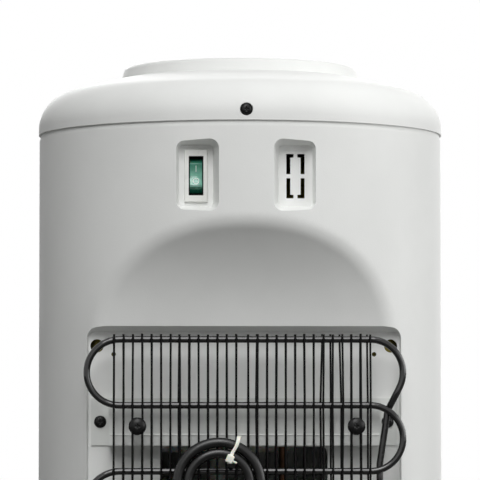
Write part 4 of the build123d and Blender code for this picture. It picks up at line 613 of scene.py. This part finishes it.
rows = [condenser["topRow"] - condenser["rowPitch"] * i for i in range(condenser["rows"])]
wiresX = [condenser["firstX"] - condenser["pitch"] * i for i in range(condenser["perGroup"])]
wiresX += [wiresX[-1] - condenser["middleGap"] - condenser["pitch"] * i for i in range(condenser["perGroup"])]
sway = random.Random(11)
grid = bpy.data.curves.new("condenser_wires_bent", "CURVE")
grid.dimensions = "3D"
grid.bevel_depth = condenser["wireRadius"]
grid.bevel_resolution = 2
grid.use_fill_caps = True
nuggets = bmesh.new()
for i, x in enumerate(wiresX):
    for side in (-1, 1):
        y = condenser["centreY"] + side * condenser["offset"]
        leans = [sway.uniform(-1, 1) * condenser["waver"] for row in rows]
        for k, off in enumerate(condenser["strayed"].get((i, side), ())):
            leans[k] += off * mm
        ends = [(x + leans[0], rows[0] + condenser["topOver"] + sway.uniform(*condenser["topCut"]) * mm)]
        ends += [(x + lean, z) for lean, z in zip(leans, rows)]
        ends += [(x + leans[-1], rows[-1] - condenser["footOver"] + sway.uniform(*condenser["footCut"]) * mm)]
        wire = grid.splines.new("POLY")
        wire.points.add(len(ends) - 1)
        for point, (wx, wz) in zip(wire.points, ends):
            point.co = (wx, y, wz, 1)
        for wx, wz in ends[1:-1]:
            spot = Matrix.Translation((wx, y - side * condenser["nuggetIn"], wz))
            bmesh.ops.create_icosphere(nuggets, subdivisions=1, radius=condenser["nugget"],
                                       matrix=spot @ Matrix.Diagonal(condenser["nuggetShape"]))
wires = bpy.data.objects.new("condenser_wires_bent", grid)
bpy.context.scene.collection.objects.link(wires)
finishPiece(wires, "cabinet", wireEnamel, ["condenser_wires"])
finishPiece(meshPiece("weld_nuggets", nuggets, 60), "cabinet", wireEnamel)
print("condenser wired")


# rocker switch: a rocker with cranked ends, its two marks, and the black insert that it works in

switch = {
    "x": 0.03525,
    "z": 0.4308,
    "pivotY": 0.1308,
    "tilt": 7.0,
    "width": 8.8 * mm,
    "rise": 5.0 * mm,
    "dip": 1.5 * mm,
    "dishSteps": 6,
    "crest": 7.6 * mm,
    "end": 12.5 * mm,
    "endRise": 0.4 * mm,
    "slope": (0.6 * mm, 0.9 * mm),      # down and outward from a crest, where the long slope starts
    "heel": (-6 * mm, 3 * mm),
    "rounding": 0.35 * mm,
    "opening": (10.4 * mm, 27.9 * mm),
    "faceY": 0.136,
    "depth": 20 * mm,
    "liner": 0.3 * mm,
}
marks = {
    "sunk": 0.62 * mm,
    "barAt": 4.6 * mm,
    "bar": (0.42 * mm, 0.16 * mm, 4.4 * mm),
    "barTilt": -11,
    "ringAt": -4.4 * mm,
    "ringRadii": (1.75 * mm, 2.2 * mm),
    "ringFaces": (0.1 * mm, -0.3 * mm),
    "ringSunk": 0.12 * mm,
    "ringAxis": (0, 1, 0.19),
}
rockerPlace = (Matrix.Translation((switch["x"], switch["pivotY"], switch["z"]))
               @ Matrix.Rotation(math.radians(switch["tilt"]), 4, "X"))

bm = bmesh.new()
rise, dip, crest, end, low = (switch[k] for k in ("rise", "dip", "crest", "end", "endRise"))
(down, out), (heelIn, heelUp), steps = switch["slope"], switch["heel"], switch["dishSteps"]
side = [(low, -end), (rise - down, -crest - out), (rise, -crest)]
side += [(rise - dip * (1 - (v / steps) ** 2), v / steps * crest) for v in range(1 - steps, steps)]
side += [(rise, crest), (rise - down, crest + out), (low, end), (heelIn, heelUp), (heelIn, -heelUp)]
flat = [bm.verts.new((-switch["width"] / 2, u, v)) for u, v in side]
cap = bmesh.ops.contextual_create(bm, geom=flat)["faces"]
swept = bmesh.ops.extrude_face_region(bm, geom=cap)
bmesh.ops.translate(bm, vec=(switch["width"], 0, 0), verts=newVerts(swept))
bevelAll(bm, switch["rounding"], 2, 40)
# faces below the lower crest take the deep green of painted shade
for face in bm.faces:
    face.material_index = int(face.calc_center_median().z < -crest - 0.2 * mm)     # the dark lower end
bmesh.ops.transform(bm, matrix=rockerPlace, verts=bm.verts)
rocker = meshPiece("rocker_moulding", bm, 30)
rocker.data.materials.append(greenRocker)
rocker.data.materials.append(greenShadedEnd)
finishPiece(rocker, "rocker", greenRocker, ["switch_rocker"])

bm = bmesh.new()
markRise = rise - marks["sunk"]
boxVerts(bm, (0, markRise, marks["barAt"]), marks["bar"],
         Matrix.Rotation(math.radians(marks["barTilt"]), 4, "X"))
(inner, outer), (top, foot) = marks["ringRadii"], marks["ringFaces"]
spunProfile(bm, [(inner, top), (outer, top), (outer, foot), (inner, foot), (inner, top)],
            (0, markRise - marks["ringSunk"], marks["ringAt"]), marks["ringAxis"], 36)
bmesh.ops.transform(bm, matrix=rockerPlace, verts=bm.verts)
finishPiece(meshPiece("rocker_marks", bm), "rocker", whiteInk)

bm = bmesh.new()
wide, high = switch["opening"]
boxVerts(bm, (switch["x"], switch["faceY"] - switch["depth"] / 2, switch["z"]), (wide, switch["depth"], high))
mouth = [f for f in bm.faces if f.calc_center_median().y > switch["faceY"] - 0.1 * mm]
bmesh.ops.delete(bm, geom=mouth, context="FACES_ONLY")
bmesh.ops.solidify(bm, geom=bm.faces[:], thickness=switch["liner"])
finishPiece(meshPiece("switch_insert", bm), "cabinet", blackPlastic)
smoothNode("switch_housing", whiteGloss)
print("switch made")


# strain relief: a ribbed sleeve that tapers and bends with the cord

grip = {
    "flangeY": 0.095,
    "flange": 9.5 * mm,
    "flangeThick": 2.6 * mm,
    "edgeThick": 1.8 * mm,
    "edgeWide": 1 * mm,
    "spigot": 6.4 * mm,
    "root": 7.0 * mm,
    "tip": 4.3 * mm,
    "reach": 30 * mm,
    "ribs": 7,
    "groove": 0.8 * mm,
}

leadX, leadZ = cord["lead"][0][0], cord["lead"][0][2]
leadLine = curvePath([(leadX, grip["flangeY"], leadZ)] + cord["lead"][:5])
runs = [0.0]                    # how far along the lead each of its places is
for before, after in zip(leadLine, leadLine[1:]):
    runs.append(runs[-1] + (after - before).length)
places, radii = [], []
count = 4 * grip["ribs"] + 1    # four rings to a rib, two of them in its groove
for i in range(count):
    along = grip["reach"] * i / (count - 1)
    here = max(k for k, run in enumerate(runs[:-1]) if run <= along + 1e-9)
    step = leadLine[here + 1] - leadLine[here]
    places.append(leadLine[here] + step * ((along - runs[here]) / step.length))
    taper = grip["root"] + (grip["tip"] - grip["root"]) * i / (count - 1)
    grooved = i % 4 in (2, 3) and 4 < i < count - 2
    radii.append(taper - (grip["groove"] if grooved else 0))
bm = bmesh.new()
tubeAlong(bm, places, radii, 24)
spunProfile(bm, [(0, grip["flangeThick"]), (grip["flange"] - grip["edgeWide"], grip["flangeThick"]),
                 (grip["flange"], grip["edgeThick"]), (grip["flange"], 0), (grip["root"], 0),
                 (grip["root"], -grip["spigot"]), (0, -grip["spigot"])],
            (leadX, grip["flangeY"], leadZ), (0, 1, 0))
finishPiece(meshPiece("strain_relief", bm, 40), "cabinet", blackPlastic, ["cord_grip"])


# plug: a moulded body with finger ribs, a collared neck and two pins

plugBody = {
    "x": 0.0489,
    "y": 0.1415,
    "foot": 0.056,
    "body": 28 * mm,
    "width": 26 * mm,
    "depth": 15 * mm,
    "shoulder": (0.72, 0.86, 1),
    "rounding": 4.5 * mm,
    "ribs": 5,
    "ribAt": (7.0 * mm, 7 * mm),        # out from the middle, and up from the foot
    "ribPitch": 3.4 * mm,
    "ribSize": (15 * mm, 1.6 * mm, 1.3 * mm),
    "ribShorter": 1.1 * mm,
    "ribLean": 0.035,
    "neckRoot": (6.2 * mm, 2 * mm),
    "neckTop": (4.2 * mm, 10 * mm),
    "collars": 4,
    "collarPitch": 2.4 * mm,
    "collarRadius": 6.0 * mm,
    "collarSmaller": 0.5 * mm,
    "collarThick": 1.4 * mm,
    "groove": (0.9 * mm, 1.5 * mm, 2.3 * mm),       # its depth, and where it starts and ends
}
pins = {
    "pitch": 19 * mm,
    "radius": 2.4 * mm,
    "length": 19 * mm,
    "middle": 9 * mm,           # a ring here keeps the shading above it straight
    "tip": (0.15 * mm, 1.2 * mm),
    "inside": 0.5 * mm,
}

bm = bmesh.new()
x, y, foot, body = (plugBody[k] for k in ("x", "y", "foot", "body"))
boxVerts(bm, (x, y, foot + body / 2), (plugBody["width"], plugBody["depth"], body))
upper = [v for v in bm.verts if v.co.z > foot + body / 2]
bmesh.ops.scale(bm, vec=plugBody["shoulder"], verts=upper, space=Matrix.Translation((-x, -y, 0)))
bevelAll(bm, plugBody["rounding"], 5)
ribOut, ribUp = plugBody["ribAt"]
ribLong, ribThick, ribHigh = plugBody["ribSize"]
for i in range(plugBody["ribs"]):
    for side in (-1, 1):
        rib = boxVerts(bm, (x, y + side * ribOut, foot + ribUp + i * plugBody["ribPitch"]),
                       (ribLong - i * plugBody["ribShorter"], ribThick, ribHigh))
        bmesh.ops.rotate(bm, verts=rib, cent=(x, y, foot),
                         matrix=Matrix.Rotation(side * plugBody["ribLean"], 3, "X"))
rootRadius, rootDrop = plugBody["neckRoot"]
topRadius, topRise = plugBody["neckTop"]
cut, cutFrom, cutTo = plugBody["groove"]
neck = [(0, body - rootDrop), (rootRadius, body - rootDrop)]
for i in range(plugBody["collars"]):
    low = body + i * plugBody["collarPitch"]
    radius = plugBody["collarRadius"] - i * plugBody["collarSmaller"]
    neck += [(radius, low), (radius, low + plugBody["collarThick"]), (radius - cut, low + cutFrom),
             (radius - cut, low + cutTo)]
neck += [(topRadius, body + topRise), (0, body + topRise)]
spunProfile(bm, neck, (x, y, foot), (0, 0, 1), 24)
finishPiece(meshPiece("plug_moulding", bm, 40), "cabinet", blackPlastic, ["plug"])

bm = bmesh.new()
radius, long = pins["radius"], pins["length"]
tipRise, tipLong = pins["tip"]
pinProfile = [(0, -long), (0.7 * radius, -long + tipRise), (radius, -long + tipLong),
              (radius, -pins["middle"]), (radius, pins["inside"]), (0, pins["inside"])]
for side in (-1, 1):
    spunProfile(bm, pinProfile, (x + side * pins["pitch"] / 2, y, foot), (0, 0, 1), 20)
finishPiece(meshPiece("plug_pins", bm, 40), "cabinet", nickelPlate)
print("cord fittings made")


# cable tie: a strap round the hank and the second row of tube, leaning as it hangs

tie = {
    "width": 2.7 * mm,
    "thick": 1.1 * mm,
    "back": 0.1139,
    "front": 0.1453,
    "foot": 0.2279,
    "top": 0.2463,
    "corner": 3.5 * mm,
    "cornerCut": 0.3,           # how far in a corner's middle point stands, as a share of the corner
    "slack": 0.5 * mm,
    "rounding": 0.35 * mm,
    "middleX": 0.00705,
    "lean": -0.344,
    "drift": 2.2 * mm,          # the front run hangs this far to the side of the slot between wires
    "driftFrom": 0.1235,
    "bow": -1.3 * mm,           # and bellies out above its middle
    "bowAt": 0.5,               # as shares of half the strap's height
    "bowReach": 0.6,
    "head": (5.2 * mm, 4.4 * mm, 6.0 * mm),
    "headX": 0.0116,
    "headTilt": -0.46,
    "headOut": 1.2 * mm,
    "headUp": 0.3 * mm,
    "headRounding": 1.1 * mm,
    "tail": (3.2 * mm, 0.9 * mm, 1.4 * mm),
    "tailAt": (-4.0 * mm, 0.7 * mm, -0.5 * mm),
}

half = tie["thick"] / 2
back, front, low, high = tie["back"] - half, tie["front"] + half, tie["foot"] - half, tie["top"] + half
bend, cut, slack = tie["corner"], tie["cornerCut"] * tie["corner"], tie["slack"]
middle, reach = (low + high) / 2, (high - low) / 2
loop = [(back, low + bend), (back, high - bend), (back + cut, high - cut), (back + bend, high),
        (front - 2 * bend, high + slack), (front - 0.4 * bend, high - 0.2 * bend), (front, high - bend),
        (front + slack, middle), (front, low + bend), (front - cut, low + cut),
        (front - bend, low), (back + bend, low), (back + cut, low + cut)]
bm = bmesh.new()
ring = [bm.verts.new(place) for place in curvePath([(0, y, z) for y, z in loop], closed=True)]
edges = [bm.edges.new((ring[i - 1], ring[i])) for i in range(len(ring))]
strip = bmesh.ops.extrude_edge_only(bm, edges=edges)
bmesh.ops.translate(bm, vec=(tie["width"], 0, 0), verts=newVerts(strip))
bmesh.ops.recalc_face_normals(bm, faces=bm.faces)
bmesh.ops.solidify(bm, geom=bm.faces[:], thickness=tie["thick"])
bmesh.ops.translate(bm, vec=(-tie["width"] / 2, 0, 0), verts=bm.verts)
bevelAll(bm, tie["rounding"], 3, 50)
for vert in bm.verts:
    aside = min(max((vert.co.y - tie["driftFrom"]) / (front - tie["driftFrom"]), 0), 1)
    above = (vert.co.z - middle) / reach
    belly = tie["bow"] * max(0, 1 - ((above - tie["bowAt"]) / tie["bowReach"]) ** 2)
    vert.co.x += tie["middleX"] + tie["lean"] * (vert.co.z - middle) + aside * (tie["drift"] + belly)
tilt = Matrix.Rotation(tie["headTilt"], 4, "Y")
headSpot = Vector((tie["headX"], front + tie["headOut"], low + bend + tie["headUp"]))
head, tail = bmesh.new(), bmesh.new()
boxVerts(head, headSpot, tie["head"], tilt)
bevelAll(head, tie["headRounding"], 4)
boxVerts(tail, headSpot + tilt @ Vector(tie["tailAt"]), tie["tail"], tilt)
bevelAll(tail, tie["rounding"])
addTo(bm, head)
addTo(bm, tail)
finishPiece(meshPiece("cable_tie_strap", bm, 40), "cabinet", naturalNylon, ["cable_tie"])
print("cable tie made")


# condenser brackets: the sheet is folded back on itself at the lip, so its edge is round and shines

fold = {"radius": 0.9 * mm, "reach": 0.0958, "y": 0.1089, "z": (0.2474, 0.1538), "rounding": 0.4 * mm}

bm = nodeCopy("condenser_brackets")
for z in fold["z"]:
    roll = bmesh.new()
    across = Matrix.Translation((0, fold["y"], z)) @ Matrix.Rotation(math.pi / 2, 4, "Y")
    bmesh.ops.create_cone(roll, cap_ends=True, segments=24, radius1=fold["radius"], radius2=fold["radius"],
                          depth=2 * fold["reach"], matrix=across)
    bevelAll(roll, fold["rounding"], 2, 60)
    addTo(bm, roll)
finishPiece(shadedPiece("folded_brackets", bm, 35), "cabinet", powderCoat,
            ["condenser_brackets"])
print("brackets folded")


# CAD pieces that have no piece of their own above are smooth shaded and take their finish

ownPiece = {"condenser_brackets", "power_cord", "power_cord_coil", "power_cord_tail", "pan_screws",
            "condenser_screws", "condenser_wires", "switch_rocker", "switch_housing", "cord_grip", "plug",
            "cable_tie"}
coilShare = 0.4                 # of the evaporator coil's faces, which are too many for a piece no one sees
for node in nodes:
    if node not in ownPiece:
        skin = smoothNode(node, slotMaterials[slotOf(node)])
        if node == "evaporator_coil":
            skin.modifiers.new("fewer_faces", "DECIMATE").ratio = coilShare
print("CAD pieces dressed")


# floor, world and lamps

studio = {"floor": 6.0, "floorShown": "F6F6F5", "floorBounce": "828281", "ambient": 0.04, "backdrop": 1.0}
rearAim, frontAim = (0, 0.05, 0.32), (0, 0, 0.3)
lamps = [
    # name, place, aim, size, watts
    ("key_right", (-2.2, 1.5, 0.9), rearAim, 1.6, 15.0),
    ("side_right", (-2.5, -0.2, 1.0), rearAim, 1.6, 28.0),
    ("over_rear", (0.25, 2.05, 2.2), rearAim, 1.8, 47.5),
    ("over_head", (-0.1, 0.9, 2.6), rearAim, 1.8, 13.2),
    ("rear_fill", (0.4, 2.8, 1.2), rearAim, 1.6, 3.8),
    ("front_key", (0.35, -2.6, 1.5), frontAim, 1.6, 27.0),
    ("front_fill", (-0.9, -2.4, 0.8), frontAim, 1.6, 9.0),
]

bm = bmesh.new()
bmesh.ops.create_grid(bm, x_segments=1, y_segments=1, size=studio["floor"] / 2)
ground = meshPiece("floor", bm)
# white paper to the eye, but it throws only as much light up at the cabinet as a grey table does
paper, tree, shader, place = newMaterial("white_paper_sweep", Roughness=0.7, Specular_IOR_Level=0.1)
seen = addNode(tree, "ShaderNodeLightPath").outputs["Is Camera Ray"]
bounce, paperWhite = hexColor(studio["floorBounce"]), hexColor(studio["floorShown"])
addNode(tree, "ShaderNodeMix", {0: seen, 6: bounce, 7: paperWhite}, shader.inputs["Base Color"],
        data_type="RGBA")
ground.data.materials.append(paper)

world = bpy.data.worlds.new("studio")
bpy.context.scene.world = world
world.use_nodes = True
tree = world.node_tree
tree.nodes.clear()
ray = addNode(tree, "ShaderNodeLightPath")
direct = addNode(tree, "ShaderNodeMath", {0: ray.outputs["Is Camera Ray"], 1: ray.outputs["Is Glossy Ray"]},
                 operation="MAXIMUM")
shown = addNode(tree, "ShaderNodeMath", {0: direct, 1: ray.outputs["Is Transmission Ray"]},
                operation="MAXIMUM")
ambient = addNode(tree, "ShaderNodeBackground", {"Color": (1, 1, 1, 1), "Strength": studio["ambient"]})
backdrop = addNode(tree, "ShaderNodeBackground", {"Color": (1, 1, 1, 1), "Strength": studio["backdrop"]})
mix = addNode(tree, "ShaderNodeMixShader", {0: shown, 1: ambient, 2: backdrop})
addNode(tree, "ShaderNodeOutputWorld", {"Surface": mix})

for name, place, target, size, watts in lamps:
    lamp = bpy.data.objects.new(name, bpy.data.lights.new(name, "AREA"))
    bpy.context.scene.collection.objects.link(lamp)
    lamp.data.shape = "DISK"
    lamp.data.size = size
    lamp.data.energy = watts
    lamp.location = place
    lamp.rotation_euler = (Vector(target) - Vector(place)).to_track_quat("-Z", "Y").to_euler()
bpy.context.scene.view_settings.view_transform = "Standard"
print("lamps set")
